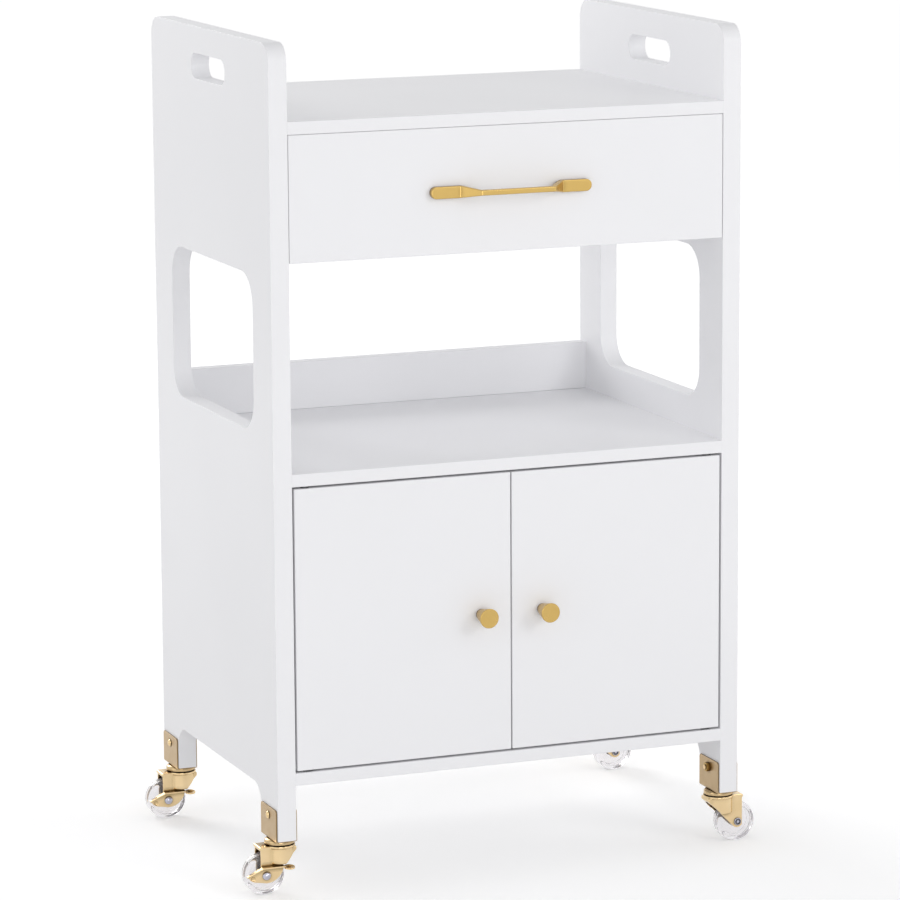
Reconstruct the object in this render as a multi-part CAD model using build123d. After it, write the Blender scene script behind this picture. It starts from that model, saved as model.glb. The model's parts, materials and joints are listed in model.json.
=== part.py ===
from build123d import *
import os
from math import cos, pi, sin, sqrt

# A salon trolley: a lacquered board carcass with a drawer, an open bay and a two-door
# cupboard, on four swivel casters with clear wheels. Millimetres, +Z up, front towards -Y.
# The origin is on the floor, under the middle of the whole trolley.

# Carcass boards
carcass_width = 470.0
carcass_depth = 340.0
side_thickness = 18.0
shelf_thickness = 12.0
rim_height = 71.0  # sides above the top shelf
bay_height = 312.0  # from the middle shelf to the top shelf, drawer included
cupboard_height = 270.0  # from the bottom shelf to the middle shelf
arch_to_shelf = 8.6  # board left between the arch and the bottom shelf
leg_height = 43.4  # from a leg's bottom to the top of the arch
leg_depth = 46.5
arch_radius = 20.0
side_corner_radius = 18.0
outer_edge_radius = 2.0  # long edges of the sides' outer faces
board_edge_radius = 0.8
rail_height = 47.5
rail_thickness = 15.0

# Cut-outs in the sides
window_jamb = 52.0  # from the front and back edges to the window
window_sill = 32.0  # from the middle shelf's top to the window
window_height = 147.0
window_radius = 30.0
hand_slot_length = 98.0
hand_slot_height = 24.0
hand_slot_drop = 37.5  # from the sides' top edge to the slot's centre

# Back panels, held in grooves
back_panel_thickness = 5.0
back_panel_inset = 12.0  # from the boards' back edges
groove_depth = 5.0
groove_play = 0.3
drawer_cover_height = 122.0  # upper back panel below the top shelf

# Board fixings
dowel_radius = 3.0
dowel_in_side = 12.0
dowel_in_shelf = 18.0
dowel_inset = 90.0  # from the front and back edges
rail_dowel_inset = 12.0  # from the rail's long edges
cam_bolt_inset = 55.0
cam_bolt_in_side = 11.0
cam_bolt_thread_radius = 3.0
cam_bolt_shank_radius = 2.4
cam_bolt_neck_radius = 1.6
cam_bolt_head_radius = 2.7
cam_bolt_head_length = 4.0
cam_bolt_neck_length = 5.0
cam_radius = 6.0
cam_cover = 2.0  # board left above a cam
cam_to_end = 24.0  # from a shelf's end to the cam's centre
bore_fit = 0.05  # radial clearance of pins, dowels and screws in their bores
bore_end_play = 0.3

# Screws with countersunk heads
screw_radius = 1.75
screw_head_radius = 3.5
screw_head_depth = 2.2
screw_recess_width = 0.9
screw_recess_depth = 1.2
screw_recess_span = 3.4

# Drawer
drawer_front_height = 116.0
drawer_front_thickness = 15.0
drawer_front_gap = 2.0  # at each end of the front
drawer_top_gap = 1.5
drawer_side_gap = 5.0
drawer_side_height = 96.0
drawer_back_room = 18.0  # from the drawer's end to the back panel
drawer_wall = 12.0
drawer_box_rise = 5.5  # drawer sides above the front's lower edge
drawer_bottom_thickness = 5.0
drawer_bottom_rise = 8.0  # bottom panel above the drawer sides' lower edge
drawer_groove_depth = 4.0
drawer_fixing_inset = 24.0  # from the drawer sides' lower and upper edges
drawer_dowel_in_front = 10.0
drawer_dowel_in_side = 14.0
drawer_screw_in_back = 18.0
drawer_kept_in = 70.0  # length of the drawer sides still inside when it is fully out

# Drawer runners and stop
runner_height = 10.0
runner_width = 11.0
runner_setback = 29.0  # from the sides' front edges
runner_back_room = 14.0  # from a runner's end to the back panel
runner_play = 0.4  # above and below a runner in its groove
runner_side_play = 0.5
runner_screw_in_side = 12.0
runner_screw_inset = 40.0  # from the runner's ends
stop_width = 30.0
stop_depth = 20.0
stop_overlap = 6.0  # how far the stop reaches below the drawer back's upper edge
stop_peg_radius = 4.0
stop_peg_length = 8.0
stop_play = 0.5

# Drawer handle
handle_length = 160.0
handle_hole_spacing = 128.0
handle_reach = 22.0
handle_pad_height = 12.0
handle_pad_thickness = 6.0
handle_pad_length = 30.0
handle_bar_height = 5.0
handle_bar_depth = 6.0
handle_bar_length = 73.6
handle_leg_step = 2.2  # sideways step between a leg's outer and inner slopes
handle_end_flat = 0.24  # straight left between the rounded corners of an end

# Machine screws of the handle and the knobs
pull_screw_radius = 2.0
pull_screw_grip = 4.0  # how far a screw enters the handle
knob_screw_grip = 10.0
pull_screw_head_radius = 4.0
pull_screw_head_height = 2.5
head_edge_share = 1 / 3  # of a small head's height, for its rounded edge

# Doors
door_thickness = 15.0
door_gap = 2.0
knob_length = 22.0
knob_base_radius = 5.0
knob_face_radius = 9.5
knob_chamfer = 0.7
knob_inset = 30.0  # from the doors' meeting edges
door_pin_inset = 12.0  # from a door's outer edge
door_pin_setback = 6.0  # from a door's front face
door_pin_radius = 2.0
door_pin_in_door = 12.0
door_pin_collar_radius = 4.0
door_pin_collar_height = 0.9
bush_radius = 3.5
bush_length = 8.0
bush_flange_radius = 4.5
bush_flange_height = 0.8

# Magnetic catch and its strike plates
catch_width = 44.0
catch_depth = 13.0
catch_height = 14.0
catch_gap = 0.3
catch_peg_radius = 3.0
catch_peg_length = 7.0
catch_peg_spacing = 28.0
strike_width = 16.0
strike_height = 9.0
strike_thickness = 1.2
strike_peg_radius = 1.5
strike_peg_length = 8.0
strike_spacing = 24.0

# Casters
wheel_diameter = 39.0
wheel_width = 13.0
wheel_edge_radius = 2.5
wheel_hub_width = 13.8
wheel_hub_radius = 6.0
wheel_web_recess = 1.6
wheel_rim_thickness = 4.2
wheel_headroom = 5.5  # between the wheel and the fork's plate
caster_trail = 16.5
fork_gauge = 2.0
fork_plate_gauge = 2.2
fork_flange_radius = 15.0
fork_hood_radius = 14.0
fork_tab_reach = 22.5  # from the swivel axis, over the wheel
fork_tab_fold = 3.0
fork_boss_radius = 6.0
fork_trailing_reach = 5.0  # cheeks behind the axle
fork_hub_gap = 0.3
hood_rise = 10.0  # lower edge of the hood above the axle
axle_radius = 3.0
axle_head_radius = 4.25
axle_head_height = 2.4
axle_rivet_radius = 3.65
axle_rivet_height = 1.0
running_fit = 0.05  # radial clearance of turning shafts
running_gap = 0.3  # between moving faces
ball_diameter = 4.0
ball_count = 9
ball_circle_radius = 8.0
cap_radius = 14.25
cap_gauge = 1.5
cap_drop = 4.8
cap_bend_radius = 3.0
kingpin_radius = 3.0
kingpin_head_radius = 5.0
kingpin_head_height = 2.2
kingpin_recess_radius = 5.5
kingpin_recess_depth = 3.0

# Brackets that clamp the casters to the legs
bracket_gauge = 1.5
bracket_width = 42.0
bracket_height = 31.0
bracket_corner_radius = 3.0
bracket_bend_radius = 1.2
bolt_rise = 21.0  # above a leg's bottom
bolt_radius = 2.5
bolt_head_radius = 4.0
bolt_head_height = 2.4
bolt_end_length = 1.2
nut_width = 8.0  # across its flats
nut_height = 3.5

# Brake levers
lever_gauge = 1.5
lever_boss_radius = 7.3
lever_tail_reach = 19.4
lever_tail_rise = 1.0
lever_tail_drop = 4.6
lever_tail_end = 14.5
lever_front_reach = 17.5
lever_top_rise = 8.7
lever_flange_width = 4.0
lever_pedal_reach = 26.5
lever_pedal_width = 10.0
lever_pedal_start = 16.0
lever_pedal_flat = 0.55  # straight left between the pedal's corners
lever_dimple_radius = 2.5
lever_dimple_tip_radius = 1.25
lever_hollow_radius = 1.75
lever_hollow_tip_radius = 0.75
lever_dimple_depth = 1.2
lever_dimple_reach = 13.2
lever_dimple_drop = 2.0

# Heights, from the floor up
axle_height = wheel_diameter / 2
fork_plate_bottom = wheel_diameter + wheel_headroom
fork_plate_top = fork_plate_bottom + fork_plate_gauge
cap_underside = fork_plate_top + running_gap + ball_diameter
cap_top = cap_underside + cap_gauge
leg_bottom = cap_top + bracket_gauge
arch_top = leg_bottom + leg_height
bottom_shelf_z = arch_top + arch_to_shelf
cupboard_floor = bottom_shelf_z + shelf_thickness
middle_shelf_z = cupboard_floor + cupboard_height
bay_floor = middle_shelf_z + shelf_thickness
top_shelf_z = bay_floor + bay_height
tray_floor = top_shelf_z + shelf_thickness
side_top = tray_floor + rim_height
window_bottom = bay_floor + window_sill
drawer_front_top = top_shelf_z - drawer_top_gap
drawer_front_bottom = drawer_front_top - drawer_front_height
drawer_box_bottom = drawer_front_bottom + drawer_box_rise
drawer_box_top = drawer_box_bottom + drawer_side_height
drawer_mid_z = (drawer_front_bottom + drawer_front_top) / 2
runner_mid_z = (drawer_box_bottom + drawer_box_top) / 2
drawer_panel_z = drawer_box_bottom + drawer_bottom_rise

# Places across and along the trolley
outer_x = carcass_width / 2
inner_x = outer_x - side_thickness
front_reach = max(handle_reach, knob_length)
front_y = (front_reach - carcass_depth) / 2
back_y = front_y + carcass_depth
mid_y = (front_y + back_y) / 2
rail_front_y = back_y - rail_thickness
panel_back_y = back_y - back_panel_inset
panel_front_y = panel_back_y - back_panel_thickness
drawer_inside_front_y = front_y + drawer_front_thickness
drawer_end_y = panel_front_y - drawer_back_room
drawer_travel = drawer_end_y - drawer_inside_front_y - drawer_kept_in
runner_start_y = front_y + runner_setback
runner_end_y = panel_front_y - runner_back_room
drawer_outer_x = inner_x - drawer_side_gap
drawer_inner_x = drawer_outer_x - drawer_wall
runner_groove_depth = runner_width - drawer_side_gap + runner_side_play
door_back_y = front_y + door_thickness
door_outer_x = inner_x - door_gap
door_bottom = cupboard_floor + door_gap
door_top = middle_shelf_z - door_gap
door_mid_z = (door_bottom + door_top) / 2
door_pin_x = door_outer_x - door_pin_inset
door_pin_y = front_y + door_pin_setback
leg_x = outer_x - side_thickness / 2
leg_front_y = front_y + leg_depth / 2
leg_back_y = back_y - leg_depth / 2
bolt_z = leg_bottom + bolt_rise
cheek_inner = wheel_hub_width / 2 + fork_hub_gap
cheek_outer = cheek_inner + fork_gauge
lever_inner = cheek_outer + running_gap
lever_outer = lever_inner + lever_gauge

standing = (Align.CENTER, Align.CENTER, Align.MIN)
hanging = (Align.CENTER, Align.CENTER, Align.MAX)
turned_left = Rot(0, 0, 180)


os.makedirs("parts", exist_ok=True)


def save(shape, node):
    export_step(shape, "parts/" + node + ".step")


# A block between two opposite corners
def block(x0, x1, y0, y1, z0, z1):
    place = Pos((x0 + x1) / 2, (y0 + y1) / 2, (z0 + z1) / 2)
    return place * Box(abs(x1 - x0), abs(y1 - y0), abs(z1 - z0))


# A round bar from a point along a direction
def rod(start, direction, radius, length):
    return Plane(origin=start, z_dir=direction) * Cylinder(radius, length, align=standing)


# A domed head on its seat: the top of a ball, cut off level with the seat
def dome(seat, direction, radius, height):
    ball_radius = (radius ** 2 + height ** 2) / (2 * height)
    ball = Pos(0, 0, height - ball_radius) * Sphere(ball_radius)
    cutter_size = 3 * ball_radius
    below = Box(cutter_size, cutter_size, cutter_size, align=hanging)
    return Plane(origin=seat, z_dir=direction) * (ball - below)


def joined(shapes):
    result = shapes[0]
    for shape in shapes[1:]:
        result = result + shape
    return result


def gathered(solids):
    return Compound(children=[solid.solid() for solid in solids])


# A board with its edges broken by a small radius
def board(x0, x1, y0, y1, z0, z1, radius=board_edge_radius):
    plain = block(x0, x1, y0, y1, z0, z1)
    return fillet(plain.edges(), radius)


# A shelf's long edges are broken, and its ends stay square against the sides
def shelf_board(z0):
    plain = block(-inner_x, inner_x, front_y, back_y, z0, z0 + shelf_thickness)
    return fillet(plain.edges().filter_by(Axis.X), board_edge_radius)


# A screw with a countersunk head flush with its seat; with a fit, it is the screw's hole
def countersunk(seat, direction, length, fit=0.0):
    head = Cone(screw_head_radius + fit, screw_radius + fit, screw_head_depth, align=standing)
    shank = Cylinder(screw_radius + fit, length + 2 * fit, align=standing)
    return Plane(origin=seat, z_dir=direction) * (head + shank)


def cross_recess(seat, direction):
    span = Box(screw_recess_span, screw_recess_width, screw_recess_depth, align=standing)
    return Plane(origin=seat, z_dir=direction) * (span + Rot(0, 0, 90) * span)


def screw(seat, direction, length):
    return countersunk(seat, direction, length) - cross_recess(seat, direction)


# Joints between the boards, for one end of one shelf; side is -1 on the left and 1 on the right
def fixing_ys(inset):
    return [front_y + inset, back_y - inset]


def dowel(point, side, fit=0.0):
    end_play = bore_end_play if fit else 0.0
    start = (point[0] + side * (dowel_in_side - bore_end_play + end_play), point[1], point[2])
    length = dowel_in_side + dowel_in_shelf - 2 * bore_end_play + 2 * end_play
    return rod(start, (-side, 0, 0), dowel_radius + fit, length)


def shelf_dowel_points(side):
    points = []
    for z0 in (bottom_shelf_z, middle_shelf_z, top_shelf_z):
        for y in fixing_ys(dowel_inset):
            points.append((side * inner_x, y, z0 + shelf_thickness / 2))
    return points


def rail_dowel_points(side):
    y = back_y - rail_thickness / 2
    heights = (bay_floor + rail_dowel_inset, bay_floor + rail_height - rail_dowel_inset)
    return [(side * inner_x, y, z) for z in heights]


def cam_points(side):
    points = []
    for z0 in (bottom_shelf_z, middle_shelf_z, top_shelf_z):
        for y in fixing_ys(cam_bolt_inset):
            points.append((side * inner_x, y, z0 + shelf_thickness / 2))
    return points


def cam_bolt(point, side):
    x, y, z = point
    thread_start = (x + side * cam_bolt_in_side, y, z)
    inward = (-side, 0, 0)
    thread = rod(thread_start, inward, cam_bolt_thread_radius, cam_bolt_in_side)
    shank_length = cam_to_end - cam_bolt_neck_length
    shank = rod(point, inward, cam_bolt_shank_radius, shank_length)
    neck_start = (x - side * shank_length, y, z)
    neck = rod(neck_start, inward, cam_bolt_neck_radius, cam_bolt_neck_length)
    head_start = (x - side * (cam_to_end - cam_bolt_head_length / 2), y, z)
    head = rod(head_start, inward, cam_bolt_head_radius, cam_bolt_head_length)
    return joined([thread, shank, neck, head])


def cam_bolt_bores(point, side):
    x, y, z = point
    side_bore_start = (x + side * (cam_bolt_in_side + bore_end_play), y, z)
    side_bore_length = cam_bolt_in_side + bore_end_play
    inward = (-side, 0, 0)
    in_side = rod(side_bore_start, inward, cam_bolt_thread_radius + bore_fit, side_bore_length)
    in_shelf = rod(point, inward, cam_bolt_thread_radius + bore_fit, cam_to_end)
    return in_side + in_shelf


def cam_place(point, side):
    underside = point[2] - shelf_thickness / 2
    return Pos(point[0] - side * cam_to_end, point[1], underside)


# The cam is a disc with a channel, open at its top, that takes the bolt's head
def cam_lock(point, side):
    cam_height = shelf_thickness - cam_cover
    disc = Cylinder(cam_radius, cam_height, align=standing)
    channel_half = cam_bolt_head_radius + bore_end_play
    channel_bottom = shelf_thickness / 2 - channel_half
    channel_end = cam_bolt_head_length / 2 + bore_end_play
    channel = block(-side * channel_end, side * cam_radius, -channel_half, channel_half,
                    channel_bottom, cam_height)
    driver_slot = Box(screw_recess_span * 2, screw_recess_width, screw_recess_depth, align=standing)
    return cam_place(point, side) * (disc - channel - driver_slot)


def cam_bore(point, side):
    depth = shelf_thickness - cam_cover + bore_end_play
    return cam_place(point, side) * Cylinder(cam_radius + bore_fit, depth, align=standing)


# The carcass sides. The left one is made, and the right one is its mirror image.
def side_outline():
    height = side_top - leg_bottom
    sheet = Pos(mid_y, leg_bottom + height / 2) * Rectangle(carcass_depth, height)
    sheet = fillet(sheet.vertices().group_by(Axis.Y)[-1], side_corner_radius)
    arch_width = carcass_depth - 2 * leg_depth
    arch = Pos(mid_y, leg_bottom + leg_height / 2) * Rectangle(arch_width, leg_height)
    arch = fillet(arch.vertices().group_by(Axis.Y)[-1], arch_radius)
    window_width = carcass_depth - 2 * window_jamb
    window = RectangleRounded(window_width, window_height, window_radius)
    window = Pos(mid_y, window_bottom + window_height / 2) * window
    slot = SlotOverall(hand_slot_length, hand_slot_height)
    slot = Pos(mid_y, side_top - hand_slot_drop) * slot
    return sheet - arch - window - slot


def back_groove(z0, z1):
    front = panel_front_y - groove_play / 2
    back = panel_back_y + groove_play / 2
    return block(-inner_x - groove_depth, inner_x + groove_depth, front, back, z0, z1)


lower_groove = back_groove(cupboard_floor - groove_depth, middle_shelf_z + groove_depth)
upper_panel_bottom = top_shelf_z - drawer_cover_height
upper_groove = back_groove(upper_panel_bottom, top_shelf_z + groove_depth)


def runner_screw_points(side):
    ys = (runner_start_y + runner_screw_inset, runner_end_y - runner_screw_inset)
    return [(side * (inner_x - runner_width), y, runner_mid_z) for y in ys]


def runner_screw_length():
    return runner_width + runner_screw_in_side


def left_side():
    face = Plane.YZ.offset(-outer_x) * side_outline()
    panel = extrude(face, side_thickness)
    outer_edges = panel.faces().sort_by(Axis.X)[0].edges()
    panel = fillet(outer_edges, outer_edge_radius)
    inner_edges = panel.faces().sort_by(Axis.X)[-1].edges()
    panel = fillet(inner_edges, board_edge_radius)
    cuts = [lower_groove, upper_groove]
    cuts += [dowel(p, -1, bore_fit) for p in shelf_dowel_points(-1) + rail_dowel_points(-1)]
    cuts += [cam_bolt_bores(p, -1) for p in cam_points(-1)]
    for point in runner_screw_points(-1):
        cuts.append(countersunk(point, (-1, 0, 0), runner_screw_length(), bore_fit))
    for y in (leg_front_y, leg_back_y):
        bolt_hole_start = (-outer_x - bore_end_play, y, bolt_z)
        bolt_hole_length = side_thickness + 2 * bore_end_play
        cuts.append(rod(bolt_hole_start, (1, 0, 0), bolt_radius + bore_fit, bolt_hole_length))
        recess = Cylinder(kingpin_recess_radius, kingpin_recess_depth, align=standing)
        cuts.append(Pos(-leg_x, y, leg_bottom) * recess)
    return panel - cuts


side_panel_left = left_side()
save(side_panel_left, "side_panel_left")
save(mirror(side_panel_left, about=Plane.YZ), "side_panel_right")


# Shelves and rail
def bored_shelf(z0):
    cuts = []
    for side in (-1, 1):
        for point in shelf_dowel_points(side):
            if abs(point[2] - z0) < shelf_thickness:
                cuts.append(dowel(point, side, bore_fit))
        for point in cam_points(side):
            if abs(point[2] - z0) < shelf_thickness:
                cuts += [cam_bolt_bores(point, side), cam_bore(point, side)]
    return shelf_board(z0) - cuts


def bush_hole(side, z, direction):
    start = (side * door_pin_x, door_pin_y, z)
    return rod(start, (0, 0, direction), bush_radius + bore_fit, bush_length + bore_end_play)


def catch_peg_points():
    y = door_back_y + strike_thickness + catch_gap + catch_depth / 2
    return [(side * catch_peg_spacing / 2, y, middle_shelf_z) for side in (-1, 1)]


# The drawer's back board meets the stop when the drawer is fully out
stop_back_y = drawer_end_y - drawer_wall - drawer_travel - stop_play
stop_mid_y = stop_back_y - stop_depth / 2

bottom_shelf = bored_shelf(bottom_shelf_z) - lower_groove
middle_shelf = bored_shelf(middle_shelf_z) - lower_groove
top_shelf = bored_shelf(top_shelf_z) - upper_groove
for side in (-1, 1):
    bottom_shelf = bottom_shelf - bush_hole(side, cupboard_floor, -1)
    middle_shelf = middle_shelf - bush_hole(side, middle_shelf_z, 1)
for point in catch_peg_points():
    peg_hole_depth = catch_peg_length + bore_end_play
    middle_shelf = middle_shelf - rod(point, (0, 0, 1), catch_peg_radius + bore_fit, peg_hole_depth)
stop_peg_point = (0, stop_mid_y, top_shelf_z)
stop_hole_depth = stop_peg_length + bore_end_play
top_shelf = top_shelf - rod(stop_peg_point, (0, 0, 1), stop_peg_radius + bore_fit, stop_hole_depth)
save(bottom_shelf, "bottom_shelf")
save(middle_shelf, "middle_shelf")
save(top_shelf, "top_shelf")

rail = block(-inner_x, inner_x, rail_front_y, back_y, bay_floor, bay_floor + rail_height)
rail = fillet(rail.edges().filter_by(Axis.X), board_edge_radius)
for side in (-1, 1):
    for point in rail_dowel_points(side):
        rail = rail - dowel(point, side, bore_fit)
save(rail, "shelf_back_rail")


# Back panels, short of the ends of their grooves
def back_panel(z0, z1):
    x = inner_x + groove_depth - groove_play
    return block(-x, x, panel_front_y, panel_back_y, z0, z1)


groove_end_gap = groove_depth - groove_play
lower_panel = back_panel(cupboard_floor - groove_end_gap, middle_shelf_z + groove_end_gap)
upper_panel = back_panel(upper_panel_bottom, top_shelf_z + groove_end_gap)
save(lower_panel, "lower_back_panel")
save(upper_panel, "upper_back_panel")

dowels = []
cam_bolts = []
cam_locks = []
for side in (-1, 1):
    dowels += [dowel(p, side) for p in shelf_dowel_points(side) + rail_dowel_points(side)]
    cam_bolts += [cam_bolt(p, side) for p in cam_points(side)]
    cam_locks += [cam_lock(p, side) for p in cam_points(side)]
save(gathered(dowels), "dowels")
save(gathered(cam_bolts), "cam_bolts")
save(gathered(cam_locks), "cam_locks")


# Drawer runners
def drawer_runner(side):
    half = runner_height / 2
    runner = block(side * inner_x, side * (inner_x - runner_width), runner_start_y, runner_end_y,
                   runner_mid_z - half, runner_mid_z + half)
    for point in runner_screw_points(side):
        runner = runner - countersunk(point, (side, 0, 0), runner_screw_length(), bore_fit)
    return runner


runner_screws = []
for side, name in ((-1, "left"), (1, "right")):
    save(drawer_runner(side), "drawer_runner_" + name)
    for point in runner_screw_points(side):
        runner_screws.append(screw(point, (side, 0, 0), runner_screw_length()))
save(gathered(runner_screws), "runner_screws")

stop_bottom = drawer_box_top - stop_overlap
stop_block = block(-stop_width / 2, stop_width / 2, stop_back_y - stop_depth, stop_back_y,
                   stop_bottom, top_shelf_z)
stop_peg = rod(stop_peg_point, (0, 0, 1), stop_peg_radius, stop_peg_length)
save(stop_block + stop_peg, "drawer_stop")


# Drawer box
def drawer_fixing_heights():
    return (drawer_box_bottom + drawer_fixing_inset, drawer_box_top - drawer_fixing_inset)


# The drawer's bottom panel, or with a play the groove round it
def drawer_floor(play=0.0):
    inset = drawer_groove_depth - groove_play + play
    x = drawer_inner_x + inset
    y0 = drawer_inside_front_y - inset
    y1 = drawer_end_y - drawer_wall + inset
    z0 = drawer_panel_z - play / 2
    z1 = drawer_panel_z + drawer_bottom_thickness + play / 2
    return block(-x, x, y0, y1, z0, z1)


def drawer_dowel(side, z, fit=0.0):
    end_play = bore_end_play if fit else 0.0
    x = side * (drawer_outer_x - drawer_wall / 2)
    start = (x, drawer_inside_front_y - drawer_dowel_in_front + bore_end_play - end_play, z)
    length = drawer_dowel_in_front + drawer_dowel_in_side - 2 * bore_end_play + 2 * end_play
    return rod(start, (0, 1, 0), dowel_radius + fit, length)


def drawer_screw_points(side):
    y = drawer_end_y - drawer_wall / 2
    return [(side * drawer_outer_x, y, z) for z in drawer_fixing_heights()]


def pull_screw(seat, length):
    head_start = (seat[0], seat[1] + pull_screw_head_height, seat[2])
    head = rod(head_start, (0, -1, 0), pull_screw_head_radius, pull_screw_head_height)
    head = fillet(head.edges().sort_by(Axis.Y)[-1], pull_screw_head_height * head_edge_share)
    shank = rod(seat, (0, -1, 0), pull_screw_radius, length)
    recess = cross_recess(head_start, (0, -1, 0))
    return head + shank - recess


def pull_screw_hole(seat, length):
    return rod(seat, (0, -1, 0), pull_screw_radius + bore_fit, length + bore_end_play)


drawer_screw_length = drawer_wall + drawer_screw_in_back
handle_screw_length = drawer_front_thickness + pull_screw_grip
handle_screw_seats = []
for side in (-1, 1):
    handle_screw_seats.append((side * handle_hole_spacing / 2, drawer_inside_front_y, drawer_mid_z))

front_x = inner_x - drawer_front_gap
drawer_front = board(-front_x, front_x, front_y, drawer_inside_front_y,
                     drawer_front_bottom, drawer_front_top)
drawer_front = drawer_front - drawer_floor(groove_play)
for seat in handle_screw_seats:
    drawer_front = drawer_front - pull_screw_hole(seat, handle_screw_length)
for side in (-1, 1):
    for z in drawer_fixing_heights():
        drawer_front = drawer_front - drawer_dowel(side, z, bore_fit)
save(drawer_front, "drawer_front")


def drawer_side(side):
    wall = block(side * drawer_inner_x, side * drawer_outer_x, drawer_inside_front_y, drawer_end_y,
                 drawer_box_bottom, drawer_box_top)
    half = runner_height / 2 + runner_play
    groove = block(side * (drawer_outer_x - runner_groove_depth), side * drawer_outer_x,
                   drawer_inside_front_y, drawer_end_y, runner_mid_z - half, runner_mid_z + half)
    wall = wall - groove - drawer_floor(groove_play)
    for z in drawer_fixing_heights():
        wall = wall - drawer_dowel(side, z, bore_fit)
    for point in drawer_screw_points(side):
        wall = wall - countersunk(point, (-side, 0, 0), drawer_screw_length, bore_fit)
    return wall


drawer_back = block(-drawer_inner_x, drawer_inner_x, drawer_end_y - drawer_wall, drawer_end_y,
                    drawer_box_bottom, drawer_box_top)
drawer_back = drawer_back - drawer_floor(groove_play)
drawer_screws = []
drawer_dowels = []
for side, name in ((-1, "left"), (1, "right")):
    save(drawer_side(side), "drawer_side_" + name)
    for point in drawer_screw_points(side):
        hole = countersunk(point, (-side, 0, 0), drawer_screw_length, bore_fit)
        drawer_back = drawer_back - hole
        drawer_screws.append(screw(point, (-side, 0, 0), drawer_screw_length))
    drawer_dowels += [drawer_dowel(side, z) for z in drawer_fixing_heights()]
save(drawer_back, "drawer_back")
save(drawer_floor(), "drawer_bottom")
save(gathered(drawer_screws), "drawer_screws")
save(gathered(drawer_dowels), "drawer_dowels")


# Handle: its top view and its front view, each extruded and crossed
def handle_bar():
    half = handle_length / 2
    foot = half - handle_pad_length
    bar = handle_bar_length / 2
    inner_reach = handle_reach - handle_bar_depth
    right_top = [(half, 0), (half, handle_pad_thickness), (foot, handle_pad_thickness),
                 (bar, handle_reach)]
    right_under = [(bar - handle_leg_step, inner_reach), (foot - handle_leg_step, 0)]
    outer = [(-x, -d) for x, d in right_top] + [(x, -d) for x, d in reversed(right_top)]
    under = [(x, -d) for x, d in reversed(right_under)] + [(-x, -d) for x, d in right_under]
    top_view = extrude(Polygon(*outer, *under, align=None), handle_pad_height / 2, both=True)
    pad_half = handle_pad_height / 2
    bar_half = handle_bar_height / 2
    upper = [(-half, pad_half), (-foot, pad_half), (-bar, bar_half),
             (bar, bar_half), (foot, pad_half), (half, pad_half)]
    lower = [(x, -z) for x, z in reversed(upper)]
    front_view = Polygon(*upper, *lower, align=None)
    end_radius = pad_half - handle_end_flat / 2
    ends = [v for v in front_view.vertices() if abs(v.X) > (half + foot) / 2]
    front_view = fillet(ends, end_radius)
    crossing = extrude(Plane.XZ * front_view, handle_reach, both=True)
    return Pos(0, front_y, drawer_mid_z) * (top_view & crossing)


handle = handle_bar()
handle_screws = []
for seat in handle_screw_seats:
    handle = handle - pull_screw_hole(seat, handle_screw_length)
    handle_screws.append(pull_screw(seat, handle_screw_length))
save(handle, "drawer_handle")
save(gathered(handle_screws), "handle_screws")


# Doors, with their pins, bushes, knobs and strike plates
def door_pin(side, z, direction):
    x = side * door_pin_x
    into_door = rod((x, door_pin_y, z), (0, 0, -direction), door_pin_radius, door_pin_in_door)
    collar = rod((x, door_pin_y, z), (0, 0, direction), door_pin_collar_radius,
                 door_pin_collar_height)
    reach = door_gap + bush_length - running_gap
    journal = rod((x, door_pin_y, z), (0, 0, direction), door_pin_radius, reach)
    return joined([into_door, collar, journal])


def door_pin_bore(side, z, direction):
    depth = door_pin_in_door + bore_end_play
    start = (side * door_pin_x, door_pin_y, z)
    return rod(start, (0, 0, -direction), door_pin_radius + bore_fit, depth)


def door_bush(side, z, direction):
    start = (side * door_pin_x, door_pin_y, z)
    sleeve = rod(start, (0, 0, direction), bush_radius, bush_length)
    flange = rod(start, (0, 0, -direction), bush_flange_radius, bush_flange_height)
    bore_start = (start[0], start[1], z - direction * bush_flange_height)
    bore_length = bush_flange_height + bush_length
    bore = rod(bore_start, (0, 0, direction), door_pin_radius + running_fit, bore_length)
    return sleeve + flange - bore


def knob(side):
    length = knob_length - knob_chamfer
    spread = (knob_face_radius - knob_base_radius) * length / knob_length
    outline = Polyline((0, 0), (knob_base_radius, 0), (knob_base_radius + spread, length),
                       (knob_face_radius - knob_chamfer, knob_length), (0, knob_length), close=True)
    turned = revolve(make_face(outline), Axis.Y)
    return Pos(side * knob_inset_x, front_y, door_mid_z) * Rot(180, 0, 0) * turned


knob_inset_x = door_gap / 2 + knob_inset
knob_screw_length = door_thickness + knob_screw_grip
strike_z = middle_shelf_z - catch_height / 2


def strike_point(side):
    return (side * strike_spacing / 2, door_back_y, strike_z)


def strike_plate(side):
    x, y, z = strike_point(side)
    half = strike_width / 2
    plate = block(x - half, x + half, y, y + strike_thickness,
                  z - strike_height / 2, z + strike_height / 2)
    return plate + rod((x, y, z), (0, -1, 0), strike_peg_radius, strike_peg_length)


def door(side):
    leaf = board(side * door_gap / 2, side * door_outer_x, front_y, door_back_y,
                 door_bottom, door_top)
    leaf = leaf - door_pin_bore(side, door_top, 1) - door_pin_bore(side, door_bottom, -1)
    seat = (side * knob_inset_x, door_back_y, door_mid_z)
    leaf = leaf - pull_screw_hole(seat, door_thickness)
    peg_hole_depth = strike_peg_length + bore_end_play
    peg_hole = rod(strike_point(side), (0, -1, 0), strike_peg_radius + bore_fit, peg_hole_depth)
    return leaf - peg_hole


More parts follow.
